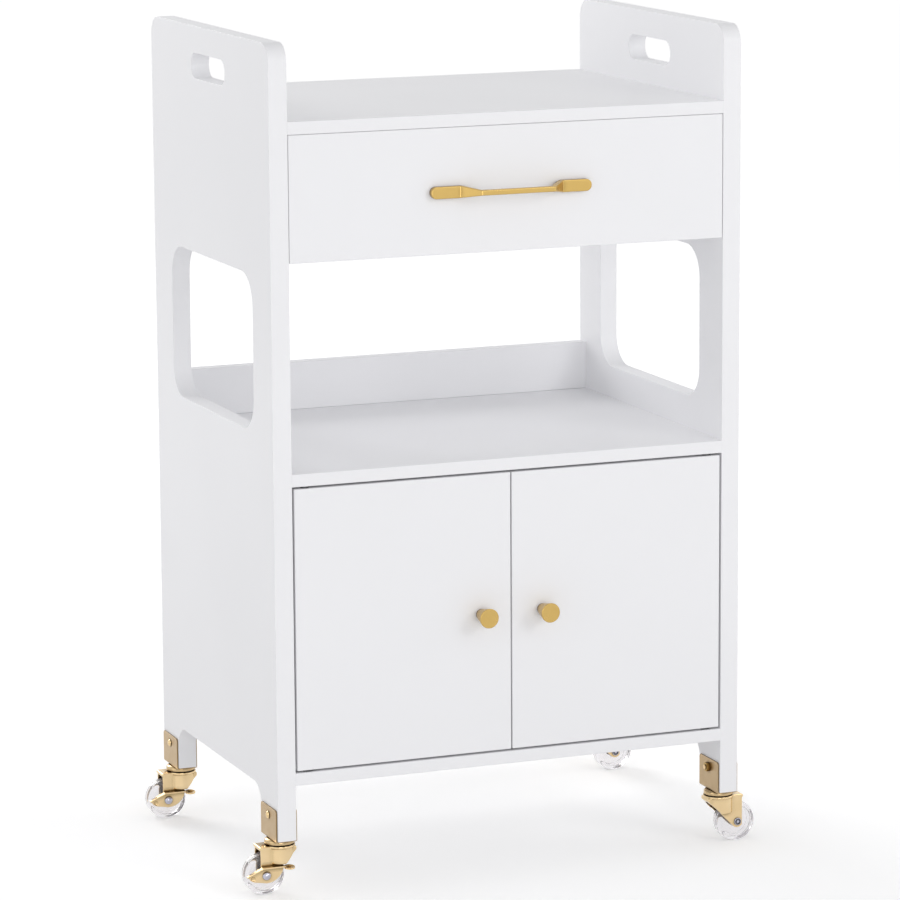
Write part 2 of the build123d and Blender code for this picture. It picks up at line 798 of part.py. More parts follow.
bushes = []
for side, name in ((-1, "left"), (1, "right")):
    seat = (side * knob_inset_x, door_back_y, door_mid_z)
    save(door(side), "door_" + name)
    save(knob(side) - pull_screw_hole(seat, knob_screw_length), "door_knob_" + name)
    save(pull_screw(seat, knob_screw_length), "knob_screw_" + name)
    pins = [door_pin(side, door_top, 1), door_pin(side, door_bottom, -1)]
    save(gathered(pins), "door_pins_" + name)
    save(strike_plate(side), "strike_plate_" + name)
    bushes.append(door_bush(side, middle_shelf_z, 1))
    bushes.append(door_bush(side, cupboard_floor, -1))
save(gathered(bushes), "door_bushes")

catch_front_y = door_back_y + strike_thickness + catch_gap
catch = block(-catch_width / 2, catch_width / 2, catch_front_y, catch_front_y + catch_depth,
              middle_shelf_z - catch_height, middle_shelf_z)
for point in catch_peg_points():
    catch = catch + rod(point, (0, 0, 1), catch_peg_radius, catch_peg_length)
save(catch, "magnetic_catch")


# Casters. Each is made at the origin with its swivel axis upright, trailing towards +X,
# with the domed head of its axle on the +Y side.
def side_profile():
    # the cheeks end in a round boss about the axle, with a leading edge sloped at 45 degrees
    top = fork_plate_bottom - axle_height
    tangent = fork_boss_radius / sqrt(2)
    lead = top + 2 * tangent
    flank = Polygon((fork_trailing_reach, 0), (fork_trailing_reach, top), (-lead, top),
                    (-tangent, -tangent), align=None)
    return flank + Circle(fork_boss_radius)


def hood_plan(radius, half_width, reach):
    legs = Pos(reach / 2, 0) * Rectangle(reach, 2 * half_width)
    return Circle(radius) + legs


def caster_fork():
    cheek_end = caster_trail + fork_trailing_reach
    hood_bottom = axle_height + hood_rise
    hood_height = fork_plate_bottom - hood_bottom
    low_end = axle_height - fork_boss_radius
    swept = 2 * fork_hood_radius + caster_trail
    outer_hood = extrude(hood_plan(fork_hood_radius, cheek_outer, cheek_end), hood_height)
    outer_low = block(-fork_hood_radius, swept, -cheek_outer, cheek_outer, low_end, hood_bottom)
    inner_plan = hood_plan(fork_hood_radius - fork_gauge, cheek_inner, swept)
    inner_hood = extrude(inner_plan, hood_height - fork_gauge)
    inner_low = block(-fork_hood_radius, swept, -cheek_inner, cheek_inner,
                      low_end, hood_bottom + fork_gauge)
    shell = Pos(0, 0, hood_bottom) * outer_hood + outer_low
    shell = shell - Pos(0, 0, hood_bottom + fork_gauge) * inner_hood - inner_low
    profile = extrude(Plane.XZ * side_profile(), fork_hood_radius, both=True)
    shell = shell & (Pos(caster_trail, 0, axle_height) * profile)
    tab = block(0, fork_tab_reach, -cheek_outer, cheek_outer, fork_plate_bottom, fork_plate_top)
    fold_start = fork_tab_reach - fork_gauge
    fold = block(fold_start, fork_tab_reach, -cheek_outer, cheek_outer,
                 fork_plate_top - fork_tab_fold, fork_plate_top)
    plate = Pos(0, 0, fork_plate_bottom) * Cylinder(fork_flange_radius, fork_plate_gauge,
                                                    align=standing)
    fork = shell + plate + tab + fold
    axle_hole = rod((caster_trail, -cheek_outer, axle_height), (0, 1, 0),
                    axle_radius + bore_fit, 2 * cheek_outer)
    pin_hole = Cylinder(kingpin_radius + running_fit, cap_top, align=standing)
    return fork - axle_hole - pin_hole


def caster_axle(braked):
    head_seat = lever_outer + running_gap if braked else cheek_outer
    shank = rod((0, -cheek_outer, 0), (0, 1, 0), axle_radius, cheek_outer + head_seat)
    rivet = rod((0, -cheek_outer, 0), (0, -1, 0), axle_rivet_radius, axle_rivet_height)
    rivet = chamfer(rivet.edges().sort_by(Axis.Y)[0], axle_rivet_height * head_edge_share)
    head = dome((0, head_seat, 0), (0, 1, 0), axle_head_radius, axle_head_height)
    return Pos(caster_trail, 0, axle_height) * (shank + rivet + head)


def caster_wheel():
    radius = wheel_diameter / 2
    tyre = Cylinder(radius, wheel_width)
    tyre = fillet(tyre.edges().group_by(Axis.Z)[0] + tyre.edges().group_by(Axis.Z)[-1],
                  wheel_edge_radius)
    hub = Cylinder(wheel_hub_radius, wheel_hub_width)
    ring = Cylinder(radius - wheel_rim_thickness, wheel_web_recess, align=standing)
    ring = ring - Cylinder(wheel_hub_radius, wheel_web_recess, align=standing)
    face = wheel_width / 2
    wheel = tyre + hub - Pos(0, 0, face - wheel_web_recess) * ring - Pos(0, 0, -face) * ring
    wheel = wheel - Cylinder(axle_radius + running_fit, wheel_hub_width)
    return Pos(caster_trail, 0, axle_height) * Rot(90, 0, 0) * wheel


def brake_lever():
    boss_tangent = lever_boss_radius / sqrt(2)
    plate_outline = Polygon((lever_tail_reach, lever_tail_rise), (boss_tangent, lever_top_rise),
                            (-lever_front_reach, lever_top_rise), (-boss_tangent, -boss_tangent),
                            (0, -lever_boss_radius), (lever_tail_end, -lever_tail_drop), align=None)
    outline = plate_outline + Circle(lever_boss_radius)
    plate = extrude(Plane.XZ * outline, lever_gauge / 2, both=True)
    plate = Pos(0, (lever_inner + lever_outer) / 2, 0) * plate
    flange_z = lever_top_rise - lever_gauge
    flange = block(-lever_front_reach, boss_tangent, lever_inner, lever_outer + lever_flange_width,
                   flange_z, lever_top_rise)
    pedal_length = lever_pedal_reach - lever_pedal_start
    pedal_radius = (min(pedal_length, lever_pedal_width) - lever_pedal_flat) / 2
    pedal_plan = RectangleRounded(pedal_length, lever_pedal_width, pedal_radius)
    pedal = Pos(-lever_pedal_start - pedal_length / 2, lever_inner + lever_pedal_width / 2, flange_z)
    pedal = pedal * extrude(pedal_plan, lever_gauge)
    dimple_place = Plane(origin=(lever_dimple_reach, lever_inner, -lever_dimple_drop),
                         z_dir=(0, -1, 0))
    dimple = dimple_place * Cone(lever_dimple_radius, lever_dimple_tip_radius, lever_dimple_depth,
                                 align=standing)
    hollow_place = Plane(origin=(lever_dimple_reach, lever_outer, -lever_dimple_drop),
                         z_dir=(0, -1, 0))
    hollow = hollow_place * Cone(lever_hollow_radius, lever_hollow_tip_radius, lever_gauge,
                                 align=standing)
    bore = rod((0, lever_inner, 0), (0, 1, 0), axle_radius + running_fit, lever_gauge)
    lever = plate + flange + pedal + dimple - hollow - bore
    return Pos(caster_trail, 0, axle_height) * lever


# Bearing cap, balls and kingpin, on the swivel axis
def swivel_cap():
    bottom = cap_top - cap_drop
    outer = Pos(0, 0, bottom) * Cylinder(cap_radius, cap_drop, align=standing)
    outer = fillet(outer.edges().group_by(Axis.Z)[-1], cap_bend_radius)
    hollow_height = cap_underside - bottom
    inner = Cylinder(cap_radius - cap_gauge, hollow_height, align=standing)
    inner = fillet(inner.edges().group_by(Axis.Z)[-1], cap_bend_radius - cap_gauge)
    hole = Cylinder(kingpin_radius + bore_fit, cap_top + cap_gauge, align=standing)
    return outer - Pos(0, 0, bottom) * inner - hole


def bearing_balls():
    balls = []
    for number in range(ball_count):
        angle = 2 * pi * number / ball_count
        x = ball_circle_radius * cos(angle)
        y = ball_circle_radius * sin(angle)
        balls.append(Pos(x, y, cap_underside - ball_diameter / 2) * Sphere(ball_diameter / 2))
    return balls


def kingpin():
    low_head_top = fork_plate_bottom - running_gap
    low_head = Pos(0, 0, low_head_top - kingpin_head_height) * Cylinder(
        kingpin_head_radius, kingpin_head_height, align=standing)
    low_head = fillet(low_head.edges().group_by(Axis.Z)[0], kingpin_head_height * head_edge_share)
    shank = Pos(0, 0, low_head_top) * Cylinder(kingpin_radius, leg_bottom - low_head_top,
                                               align=standing)
    high_head = Pos(0, 0, leg_bottom) * Cylinder(kingpin_head_radius, kingpin_head_height,
                                                 align=standing)
    return low_head + shank + high_head


# Bracket, bolt and nut of a leg on the right, about the swivel axis
def leg_bracket():
    inside = side_thickness / 2
    outside = inside + bracket_gauge
    half = bracket_width / 2
    top = cap_top + bracket_height
    bent = block(-outside, outside, -half, half, cap_top, top)
    bottom_edges = bent.edges().filter_by(Axis.Y).group_by(Axis.Z)[0]
    bent = fillet(bottom_edges, bracket_bend_radius)
    corners = bent.edges().filter_by(Axis.X).group_by(Axis.Z)[-1]
    bent = fillet(corners, bracket_corner_radius)
    bent = bent - block(-inside, inside, -half, half, leg_bottom, top)
    pin_hole = Cylinder(kingpin_radius + bore_fit, leg_bottom + bracket_gauge, align=standing)
    bolt_hole = rod((-outside, 0, bolt_z), (1, 0, 0), bolt_radius + bore_fit, 2 * outside)
    return bent - pin_hole - bolt_hole


def leg_bolt():
    outside = side_thickness / 2 + bracket_gauge
    nut_end = outside + nut_height + bolt_end_length
    shank = rod((-nut_end, 0, bolt_z), (1, 0, 0), bolt_radius, nut_end + outside)
    return shank + dome((outside, 0, bolt_z), (1, 0, 0), bolt_head_radius, bolt_head_height)


def leg_nut():
    outside = side_thickness / 2 + bracket_gauge
    hexagon = extrude(RegularPolygon(nut_width / 2, 6, major_radius=False), nut_height)
    hexagon = hexagon - Cylinder(bolt_radius + bore_fit, nut_height, align=standing)
    return Plane(origin=(-outside, 0, bolt_z), z_dir=(-1, 0, 0)) * hexagon


caps = []
kingpins = []
balls = []
bolts = []
nuts = []
for end, y in (("front", leg_front_y), ("rear", leg_back_y)):
    for hand, side in (("left", -1), ("right", 1)):
        corner = end + "_" + hand
        braked = hand == "left"
        upright = Pos(side * leg_x, y, 0)
        place = upright * turned_left if side < 0 else upright
        save(place * caster_fork(), "caster_fork_" + corner)
        save(place * caster_axle(braked), "caster_axle_" + corner)
        save(place * caster_wheel(), "caster_wheel_" + corner)
        save(place * leg_bracket(), "caster_bracket_" + corner)
        if braked:
            save(place * brake_lever(), "brake_lever_" + corner)
        caps.append(place * swivel_cap())
        kingpins.append(place * kingpin())
        balls += [place * ball for ball in bearing_balls()]
        bolts.append(place * leg_bolt())
        nuts.append(place * leg_nut())
save(gathered(caps), "swivel_caps")
save(gathered(kingpins), "kingpins")
save(gathered(balls), "swivel_balls")
save(gathered(bolts), "bracket_bolts")
save(gathered(nuts), "bracket_nuts")
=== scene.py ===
import json
from math import asin, cos, pi, radians, sin, tan

import bpy
from mathutils import Matrix, Vector

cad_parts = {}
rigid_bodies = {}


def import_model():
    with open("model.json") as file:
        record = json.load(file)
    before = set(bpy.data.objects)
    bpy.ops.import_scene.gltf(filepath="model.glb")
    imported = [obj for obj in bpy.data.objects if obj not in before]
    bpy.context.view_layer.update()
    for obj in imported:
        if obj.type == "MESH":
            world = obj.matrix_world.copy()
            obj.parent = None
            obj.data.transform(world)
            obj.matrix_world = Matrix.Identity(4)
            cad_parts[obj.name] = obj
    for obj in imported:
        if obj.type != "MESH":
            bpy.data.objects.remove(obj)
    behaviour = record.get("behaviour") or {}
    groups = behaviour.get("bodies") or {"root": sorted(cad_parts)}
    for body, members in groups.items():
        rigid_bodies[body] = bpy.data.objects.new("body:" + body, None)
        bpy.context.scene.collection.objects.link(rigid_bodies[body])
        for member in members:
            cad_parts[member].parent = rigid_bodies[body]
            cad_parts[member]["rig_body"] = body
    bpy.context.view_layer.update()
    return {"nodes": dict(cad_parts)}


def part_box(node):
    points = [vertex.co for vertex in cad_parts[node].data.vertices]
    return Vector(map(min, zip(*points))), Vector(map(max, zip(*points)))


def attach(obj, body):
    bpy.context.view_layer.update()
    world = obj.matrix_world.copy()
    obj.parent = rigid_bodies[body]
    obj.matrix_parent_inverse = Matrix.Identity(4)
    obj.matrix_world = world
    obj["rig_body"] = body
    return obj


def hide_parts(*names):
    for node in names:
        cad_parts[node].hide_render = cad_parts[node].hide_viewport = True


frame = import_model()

# A white lacquered trolley on four gold casters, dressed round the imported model. Metres.
mm = 0.001
tiny = 0.01 * mm  # points nearer than this count as one
facing = 0.5  # a face looks along an axis where its normal has more than this share of it
largeSteps, turnedSteps, smallSteps, drillSteps = 96, 72, 64, 48  # sides of round pieces
bendSteps, domeSteps, beadSteps = 5, 8, 32  # facets of small bends, domes and beads
cadSlots = {name: node.data.materials[0].name for name, node in frame["nodes"].items()}
hands = {"left": -1, "right": 1}  # each side, and the way to it along X
ends = ("front", "rear")
print("frame loaded:", len(cadSlots), "nodes")


# Selecting, and going in and out of edit mode
def deselectAll():
    for item in bpy.context.selected_objects:
        item.select_set(False)


def pick(piece):
    deselectAll()
    piece.select_set(True)
    bpy.context.view_layer.objects.active = piece


def enterEdit(piece, element):
    pick(piece)
    bpy.ops.object.mode_set(mode="EDIT")
    bpy.ops.mesh.select_mode(type=element)


def enterWhole(piece, element):
    enterEdit(piece, element)
    bpy.ops.mesh.select_all(action="SELECT")


def leaveEdit():
    bpy.ops.object.mode_set(mode="OBJECT")


def clearChoice(piece, element):
    enterEdit(piece, element)
    bpy.ops.mesh.select_all(action="DESELECT")
    leaveEdit()


def chooseFaces(piece, test):
    clearChoice(piece, "FACE")
    for face in piece.data.polygons:
        face.select = test(face.center, face.normal)
    enterEdit(piece, "FACE")


def chooseEdges(piece, test, among=None):
    # edges whose two ends pass the test, out of the given pairs of points if there are any
    clearChoice(piece, "EDGE")
    points = [vertex.co.copy() for vertex in piece.data.vertices]
    for edge in piece.data.edges:
        start, end = edge.vertices
        allowed = among is None or (start, end) in among
        edge.select = allowed and test(points[start], points[end])
    enterEdit(piece, "EDGE")


def choosePoints(piece, test):
    clearChoice(piece, "VERT")
    for vertex in piece.data.vertices:
        vertex.select = test(vertex.co)
    enterEdit(piece, "VERT")


def findSharp(piece, sharpness):
    # the pairs of points that the sharp edges join
    clearChoice(piece, "EDGE")
    enterEdit(piece, "EDGE")
    bpy.ops.mesh.edges_select_sharp(sharpness=radians(sharpness))
    leaveEdit()
    return {tuple(edge.vertices) for edge in piece.data.edges if edge.select}


def isAt(place, point):
    return (place - Vector(point)).length < tiny


def turned(degrees, axis):
    return Matrix.Rotation(radians(degrees), 4, axis)


# Modelling steps that more than one piece uses
def nameNew(name):
    # the piece just added, with its place and size taken into its mesh
    piece = bpy.context.object
    piece.name = name
    bpy.ops.object.transform_apply(location=True, rotation=True, scale=True)
    return piece


def placePiece(piece, place):
    pick(piece)
    piece.matrix_world = place
    bpy.ops.object.transform_apply(location=True, rotation=True, scale=True)
    return piece


def addBlock(name, low, high):
    deselectAll()
    low, high = Vector(low), Vector(high)
    bpy.ops.mesh.primitive_cube_add(size=1, location=(low + high) / 2, scale=high - low)
    return nameNew(name)


def addDisc(name, radius, bottom, top, steps=largeSteps):
    # a round piece on the Z axis
    deselectAll()
    bpy.ops.mesh.primitive_cylinder_add(vertices=steps, radius=radius, depth=top - bottom,
                                        location=(0, 0, (top + bottom) / 2))
    return nameNew(name)


def addPin(name, centre, radius, length, axis, steps=smallSteps):
    # a round piece that lies along X or Y
    pin = addDisc(name, radius, -length / 2, length / 2, steps)
    return placePiece(pin, Matrix.Translation(centre) @ turned(90, "Y" if axis == "X" else "X"))


def addBead(name, centre, radii):
    # a ball squashed to three radii
    deselectAll()
    bpy.ops.mesh.primitive_uv_sphere_add(segments=beadSteps, ring_count=beadSteps // 2, radius=1)
    bead = nameNew(name)
    enterWhole(bead, "VERT")
    bpy.ops.transform.resize(value=radii, center_override=(0, 0, 0))
    leaveEdit()
    return placePiece(bead, Matrix.Translation(centre))


def extrudeBy(step):
    bpy.ops.mesh.extrude_region_move(TRANSFORM_OT_translate={"value": step})


def drawLine(name, points):
    # one vertex, pulled from point to point
    deselectAll()
    bpy.ops.mesh.primitive_plane_add(size=mm, location=points[0])
    line = nameNew(name)
    enterEdit(line, "VERT")
    bpy.ops.mesh.merge(type="CENTER")
    for start, end in zip(points, points[1:]):
        extrudeBy(Vector(end) - Vector(start))
    leaveEdit()
    return line


def roundCorners(piece, corners, steps):
    # corners are (point, radius) pairs on a drawn line or face
    for point, radius in corners:
        choosePoints(piece, lambda place: isAt(place, point))
        bpy.ops.mesh.bevel(offset=radius, segments=steps, affect="VERTICES", clamp_overlap=True)
        leaveEdit()


def drawPlate(name, points, thickness, corners=(), cornerSteps=bendSteps):
    # a filled outline, pushed out to its thickness, a vector
    plate = drawLine(name, points)
    enterWhole(plate, "VERT")
    bpy.ops.mesh.edge_face_add()
    leaveEdit()
    roundCorners(plate, corners, cornerSteps)
    enterWhole(plate, "FACE")
    extrudeBy(thickness)
    bpy.ops.mesh.select_all(action="SELECT")
    bpy.ops.mesh.normals_make_consistent(inside=False)
    leaveEdit()
    return plate


def turnPiece(name, profile, closed=False, steps=turnedSteps):
    # profile is (radius, height) pairs, with a third value where a corner is rounded, spun round Z
    points = [Vector((radius, 0, height)) for radius, height, *rounding in profile]
    piece = drawLine(name, points)
    if closed:
        choosePoints(piece, lambda place: isAt(place, points[0]) or isAt(place, points[-1]))
        bpy.ops.mesh.edge_face_add()
        leaveEdit()
    for point, (radius, height, *rounding) in zip(points, profile):
        roundCorners(piece, [(point, size) for size in rounding], bendSteps)
    enterWhole(piece, "VERT")
    bpy.ops.mesh.spin(steps=steps, angle=2 * pi, center=(0, 0, 0), axis=(0, 0, 1))
    bpy.ops.mesh.select_all(action="SELECT")
    bpy.ops.mesh.remove_doubles(threshold=tiny)
    bpy.ops.mesh.normals_make_consistent(inside=False)
    leaveEdit()
    return piece


def domeProfile(radius, height, base):
    # from the rim up to the top of a shallow dome
    ball = (radius ** 2 + height ** 2) / (2 * height)
    widest = asin(radius / ball)
    points = []
    for step in range(domeSteps + 1):
        angle = widest * (1 - step / domeSteps)
        points.append((ball * sin(angle), base + height - ball + ball * cos(angle)))
    return points


def bevelChosen(radius, steps):
    bpy.ops.mesh.bevel(offset=radius, segments=steps, affect="EDGES", clamp_overlap=True)
    leaveEdit()


def useModifier(piece, kind, **settings):
    pick(piece)
    modifier = piece.modifiers.new(kind.lower(), kind)
    for key, value in settings.items():
        setattr(modifier, key, value)
    bpy.ops.object.modifier_apply(modifier=modifier.name)


def combine(piece, tools, operation="DIFFERENCE"):
    for tool in tools:
        useModifier(piece, "BOOLEAN", object=tool, operation=operation, solver="EXACT")
        bpy.data.objects.remove(tool)


def softenStamping(piece, look):
    # a fine remesh whose edges are then smoothed round, as on stamped sheet
    useModifier(piece, "REMESH", mode="VOXEL", voxel_size=look["voxel"])
    useModifier(piece, "SMOOTH", factor=look["smoothFactor"], iterations=look["smoothing"])


def joinPieces(name, pieces):
    pick(pieces[0])
    for piece in pieces[1:]:
        piece.select_set(True)
    bpy.ops.object.join()
    pieces[0].name = name
    return pieces[0]


def copyPiece(piece, name, place):
    pick(piece)
    bpy.ops.object.duplicate(linked=False)
    copy = bpy.context.object
    copy.name = name
    return placePiece(copy, place)


def finishPiece(piece, node, smoothAngle=35, finish=None):
    # shading, finish, body and slot of the node that the piece stands for
    pick(piece)
    bpy.ops.object.shade_smooth_by_angle(angle=radians(smoothAngle))
    useModifier(piece, "WEIGHTED_NORMAL", keep_sharp=True)
    piece.data.materials.clear()
    piece.data.materials.append(finishes[finish or cadSlots[node]])
    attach(piece, frame["nodes"][node]["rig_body"])
    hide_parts(node)
    return piece


# Shader groups, shared by the finishes
groupLook = {"cloudDetail": 3, "cloudLow": 0.3, "cloudHigh": 0.7, "grainDetail": 2, "shelterSamples": 8}


def makeGroup(name, inputs, outputs):
    # inputs and outputs are labels with the kind of each socket
    group = bpy.data.node_groups.new(name, "ShaderNodeTree")
    for way, sockets in (("INPUT", inputs), ("OUTPUT", outputs)):
        for label, kind in sockets.items():
            group.interface.new_socket(label, in_out=way, socket_type="NodeSocket" + kind)
    return group, group.nodes.new("NodeGroupInput"), group.nodes.new("NodeGroupOutput")


def addMix(nodes, kind):
    # a Mix node's sockets by their identifiers, because it repeats its labels
    mix = nodes.new("ShaderNodeMix")
    mix.data_type = kind
    return {socket.identifier: socket for socket in (*mix.inputs, *mix.outputs)}


def makeDrift():
    # a slow, cloudy change between two colours and two roughnesses
    group, given, out = makeGroup(
        "slowDrift",
        {"Scale": "Float", "Color A": "Color", "Color B": "Color", "Roughness A": "Float",
         "Roughness B": "Float"},
        {"Color": "Color", "Roughness": "Float"})
    place = group.nodes.new("ShaderNodeTexCoord")
    cloud = group.nodes.new("ShaderNodeTexNoise")
    cloud.inputs["Detail"].default_value = groupLook["cloudDetail"]
    spread = group.nodes.new("ShaderNodeMapRange")
    spread.inputs["From Min"].default_value = groupLook["cloudLow"]
    spread.inputs["From Max"].default_value = groupLook["cloudHigh"]
    tint = addMix(group.nodes, "RGBA")
    gloss = addMix(group.nodes, "FLOAT")
    link = group.links.new
    link(place.outputs["Object"], cloud.inputs["Vector"])
    link(given.outputs["Scale"], cloud.inputs["Scale"])
    link(cloud.outputs["Fac"], spread.inputs["Value"])
    link(spread.outputs["Result"], tint["Factor_Float"])
    link(spread.outputs["Result"], gloss["Factor_Float"])
    for letter in "AB":
        link(given.outputs["Color " + letter], tint[letter + "_Color"])
        link(given.outputs["Roughness " + letter], gloss[letter + "_Float"])
    link(tint["Result_Color"], out.inputs["Color"])
    link(gloss["Result_Float"], out.inputs["Roughness"])
    return group


def makeGrain():
    # fine relief: peel of a sprayed coat when round, brushing when stretched
    group, given, out = makeGroup("fineGrain", {"Scale": "Float", "Stretch": "Vector"}, {"Height": "Float"})
    place = group.nodes.new("ShaderNodeTexCoord")
    stretch = group.nodes.new("ShaderNodeMapping")
    grain = group.nodes.new("ShaderNodeTexNoise")
    grain.inputs["Detail"].default_value = groupLook["grainDetail"]
    link = group.links.new
    link(place.outputs["Object"], stretch.inputs["Vector"])
    link(given.outputs["Stretch"], stretch.inputs["Scale"])
    link(stretch.outputs["Vector"], grain.inputs["Vector"])
    link(given.outputs["Scale"], grain.inputs["Scale"])
    link(grain.outputs["Fac"], out.inputs["Height"])
    return group


def makePaintedShade():
    # painted shade: the colour darkens towards a shade colour where ambient occlusion finds other surfaces
    # near, in creases and where parts meet
    group, given, out = makeGroup(
        "paintedCreaseShade", {"Color": "Color", "Painted Shade Color": "Color", "Reach": "Float", "Start": "Float"},
        {"Color": "Color"})
    shelter = group.nodes.new("ShaderNodeAmbientOcclusion")
    shelter.samples = groupLook["shelterSamples"]
    bare = group.nodes.new("ShaderNodeMapRange")
    tint = addMix(group.nodes, "RGBA")
    link = group.links.new
    link(given.outputs["Reach"], shelter.inputs["Distance"])
    link(shelter.outputs["AO"], bare.inputs["Value"])
    link(given.outputs["Start"], bare.inputs["From Min"])
    link(bare.outputs["Result"], tint["Factor_Float"])
    link(given.outputs["Painted Shade Color"], tint["A_Color"])
    link(given.outputs["Color"], tint["B_Color"])
    link(tint["Result_Color"], out.inputs["Color"])
    return group


slowDrift = makeDrift()
fineGrain = makeGrain()
paintedCreaseShade = makePaintedShade()


def addGroup(nodes, group, values):
    node = nodes.new("ShaderNodeGroup")
    node.node_tree = group
    for label, value in values.items():
        node.inputs[label].default_value = value
    return node


def makeFinish(name, look):
    material = bpy.data.materials.new(name)
    material.use_nodes = True
    nodes = material.node_tree.nodes
    link = material.node_tree.links.new
    shader = nodes["Principled BSDF"]
    drift = addGroup(nodes, slowDrift, {
        "Scale": look["driftScale"], "Color A": (*look["color"], 1), "Color B": (*look["colorDrift"], 1),
        "Roughness A": look["roughness"][0], "Roughness B": look["roughness"][1]})
    grain = addGroup(nodes, fineGrain, {
        "Scale": look["grainScale"], "Stretch": look.get("grainStretch", (1, 1, 1))})
    bump = nodes.new("ShaderNodeBump")
    bump.inputs["Strength"].default_value = look["grainStrength"]
    bump.inputs["Distance"].default_value = look["grainDepth"]
    color = drift.outputs["Color"]
    # painted shade in creases and where parts meet, from ambient occlusion
    if "paintedShadeColor" in look:
        crease = addGroup(nodes, paintedCreaseShade, {
            "Painted Shade Color": (*look["paintedShadeColor"], 1), "Reach": look["paintedShadeReach"],
            "Start": look["paintedShadeStart"]})
        link(color, crease.inputs["Color"])
        color = crease.outputs["Color"]
    link(color, shader.inputs["Base Color"])
    link(drift.outputs["Roughness"], shader.inputs["Roughness"])
    link(grain.outputs["Height"], bump.inputs["Height"])
    link(bump.outputs["Normal"], shader.inputs["Normal"])
    for socket, value in look.get("plain", {}).items():
        shader.inputs[socket].default_value = value
    return material


# A finish's crease colour, reach and start set its painted shade in creases and where parts meet.
finishLooks = {
    "white_lacquer": {
        "color": (0.895, 0.895, 0.912), "colorDrift": (0.885, 0.885, 0.902), "driftScale": 5,
        "roughness": (0.42, 0.48), "grainScale": 650, "grainStrength": 0.10, "grainDepth": 0.05 * mm,
        "plain": {"Specular IOR Level": 0.32}},
    "satin_gold": {
        "color": (0.57, 0.39, 0.13), "colorDrift": (0.545, 0.37, 0.12), "driftScale": 60,
        "roughness": (0.26, 0.34), "grainScale": 900, "grainStretch": (0.08, 1, 1),
        "grainStrength": 0.25, "grainDepth": 0.02 * mm,
        "paintedShadeColor": (0.20, 0.115, 0.035), "paintedShadeReach": 5 * mm, "paintedShadeStart": 0.64,
        "plain": {"Metallic": 1.0}},
    "gold_steel": {
        "color": (0.82, 0.63, 0.37), "colorDrift": (0.78, 0.59, 0.33), "driftScale": 70,
        "roughness": (0.06, 0.10), "grainScale": 260, "grainStrength": 0.10, "grainDepth": 0.03 * mm,
        "paintedShadeColor": (0.20, 0.12, 0.035), "paintedShadeReach": 5 * mm, "paintedShadeStart": 0.45,
        "plain": {"Metallic": 1.0}},
    # the brackets' plating: rougher than the forks', and darker, the darkness partly painted shade for
    # their shaded sides
    "gold_plate_painted_shade": {
        "color": (0.51, 0.375, 0.215), "colorDrift": (0.485, 0.35, 0.195), "driftScale": 90,
        "roughness": (0.30, 0.38), "grainScale": 700, "grainStretch": (1, 1, 0.1),
        "grainStrength": 0.2, "grainDepth": 0.02 * mm,
        "paintedShadeColor": (0.12, 0.07, 0.025), "paintedShadeReach": 3 * mm, "paintedShadeStart": 0.45,
        "plain": {"Metallic": 1.0}},
    "gold_bolt": {
        "color": (0.80, 0.60, 0.33), "colorDrift": (0.76, 0.56, 0.30), "driftScale": 120,
        "roughness": (0.10, 0.16), "grainScale": 300, "grainStrength": 0.08, "grainDepth": 0.02 * mm,
        "paintedShadeColor": (0.08, 0.04, 0.012), "paintedShadeReach": 2.5 * mm, "paintedShadeStart": 0.62,
        "plain": {"Metallic": 1.0}},
    "gold_cap": {
        "color": (0.62, 0.46, 0.26), "colorDrift": (0.58, 0.425, 0.23), "driftScale": 90,
        "roughness": (0.16, 0.24), "grainScale": 260, "grainStrength": 0.10, "grainDepth": 0.03 * mm,
        "paintedShadeColor": (0.10, 0.055, 0.015), "paintedShadeReach": 4 * mm, "paintedShadeStart": 0.45,
        "plain": {"Metallic": 1.0}},
    "chrome_rivet": {
        "color": (0.54, 0.54, 0.62), "colorDrift": (0.47, 0.47, 0.55), "driftScale": 150,
        "roughness": (0.10, 0.16), "grainScale": 300, "grainStrength": 0.08, "grainDepth": 0.02 * mm,
        "paintedShadeColor": (0.06, 0.06, 0.07), "paintedShadeReach": 2 * mm, "paintedShadeStart": 0.7,
        "plain": {"Metallic": 1.0}},
    "clear_wheel": {
        "color": (0.94, 0.925, 0.945), "colorDrift": (0.92, 0.905, 0.925), "driftScale": 60,
        "roughness": (0.05, 0.09), "grainScale": 180, "grainStrength": 0.12, "grainDepth": 0.04 * mm,
        "plain": {"Transmission Weight": 0.86, "IOR": 1.33}},
    "zinc_steel": {
        "color": (0.64, 0.64, 0.62), "colorDrift": (0.56, 0.57, 0.57), "driftScale": 180,
        "roughness": (0.26, 0.38), "grainScale": 900, "grainStrength": 0.2, "grainDepth": 0.02 * mm,
        "plain": {"Metallic": 1.0}},
    "nylon": {
        "color": (0.80, 0.80, 0.78), "colorDrift": (0.77, 0.77, 0.745), "driftScale": 90,
        "roughness": (0.42, 0.52), "grainScale": 1200, "grainStrength": 0.15, "grainDepth": 0.03 * mm},
    "grey_nylon": {
        "color": (0.13, 0.13, 0.135), "colorDrift": (0.11, 0.11, 0.115), "driftScale": 90,
        "roughness": (0.46, 0.56), "grainScale": 1200, "grainStrength": 0.15, "grainDepth": 0.03 * mm},
    "dark_steel": {
        "color": (0.10, 0.10, 0.105), "colorDrift": (0.08, 0.08, 0.085), "driftScale": 120,
        "roughness": (0.34, 0.44), "grainScale": 900, "grainStrength": 0.15, "grainDepth": 0.02 * mm,
        "plain": {"Metallic": 1.0}},
    "beech_dowel": {
        "color": (0.62, 0.42, 0.24), "colorDrift": (0.50, 0.31, 0.16), "driftScale": 300,
        "roughness": (0.55, 0.68), "grainScale": 1500, "grainStretch": (0.06, 1, 1),
        "grainStrength": 0.4, "grainDepth": 0.08 * mm},
}
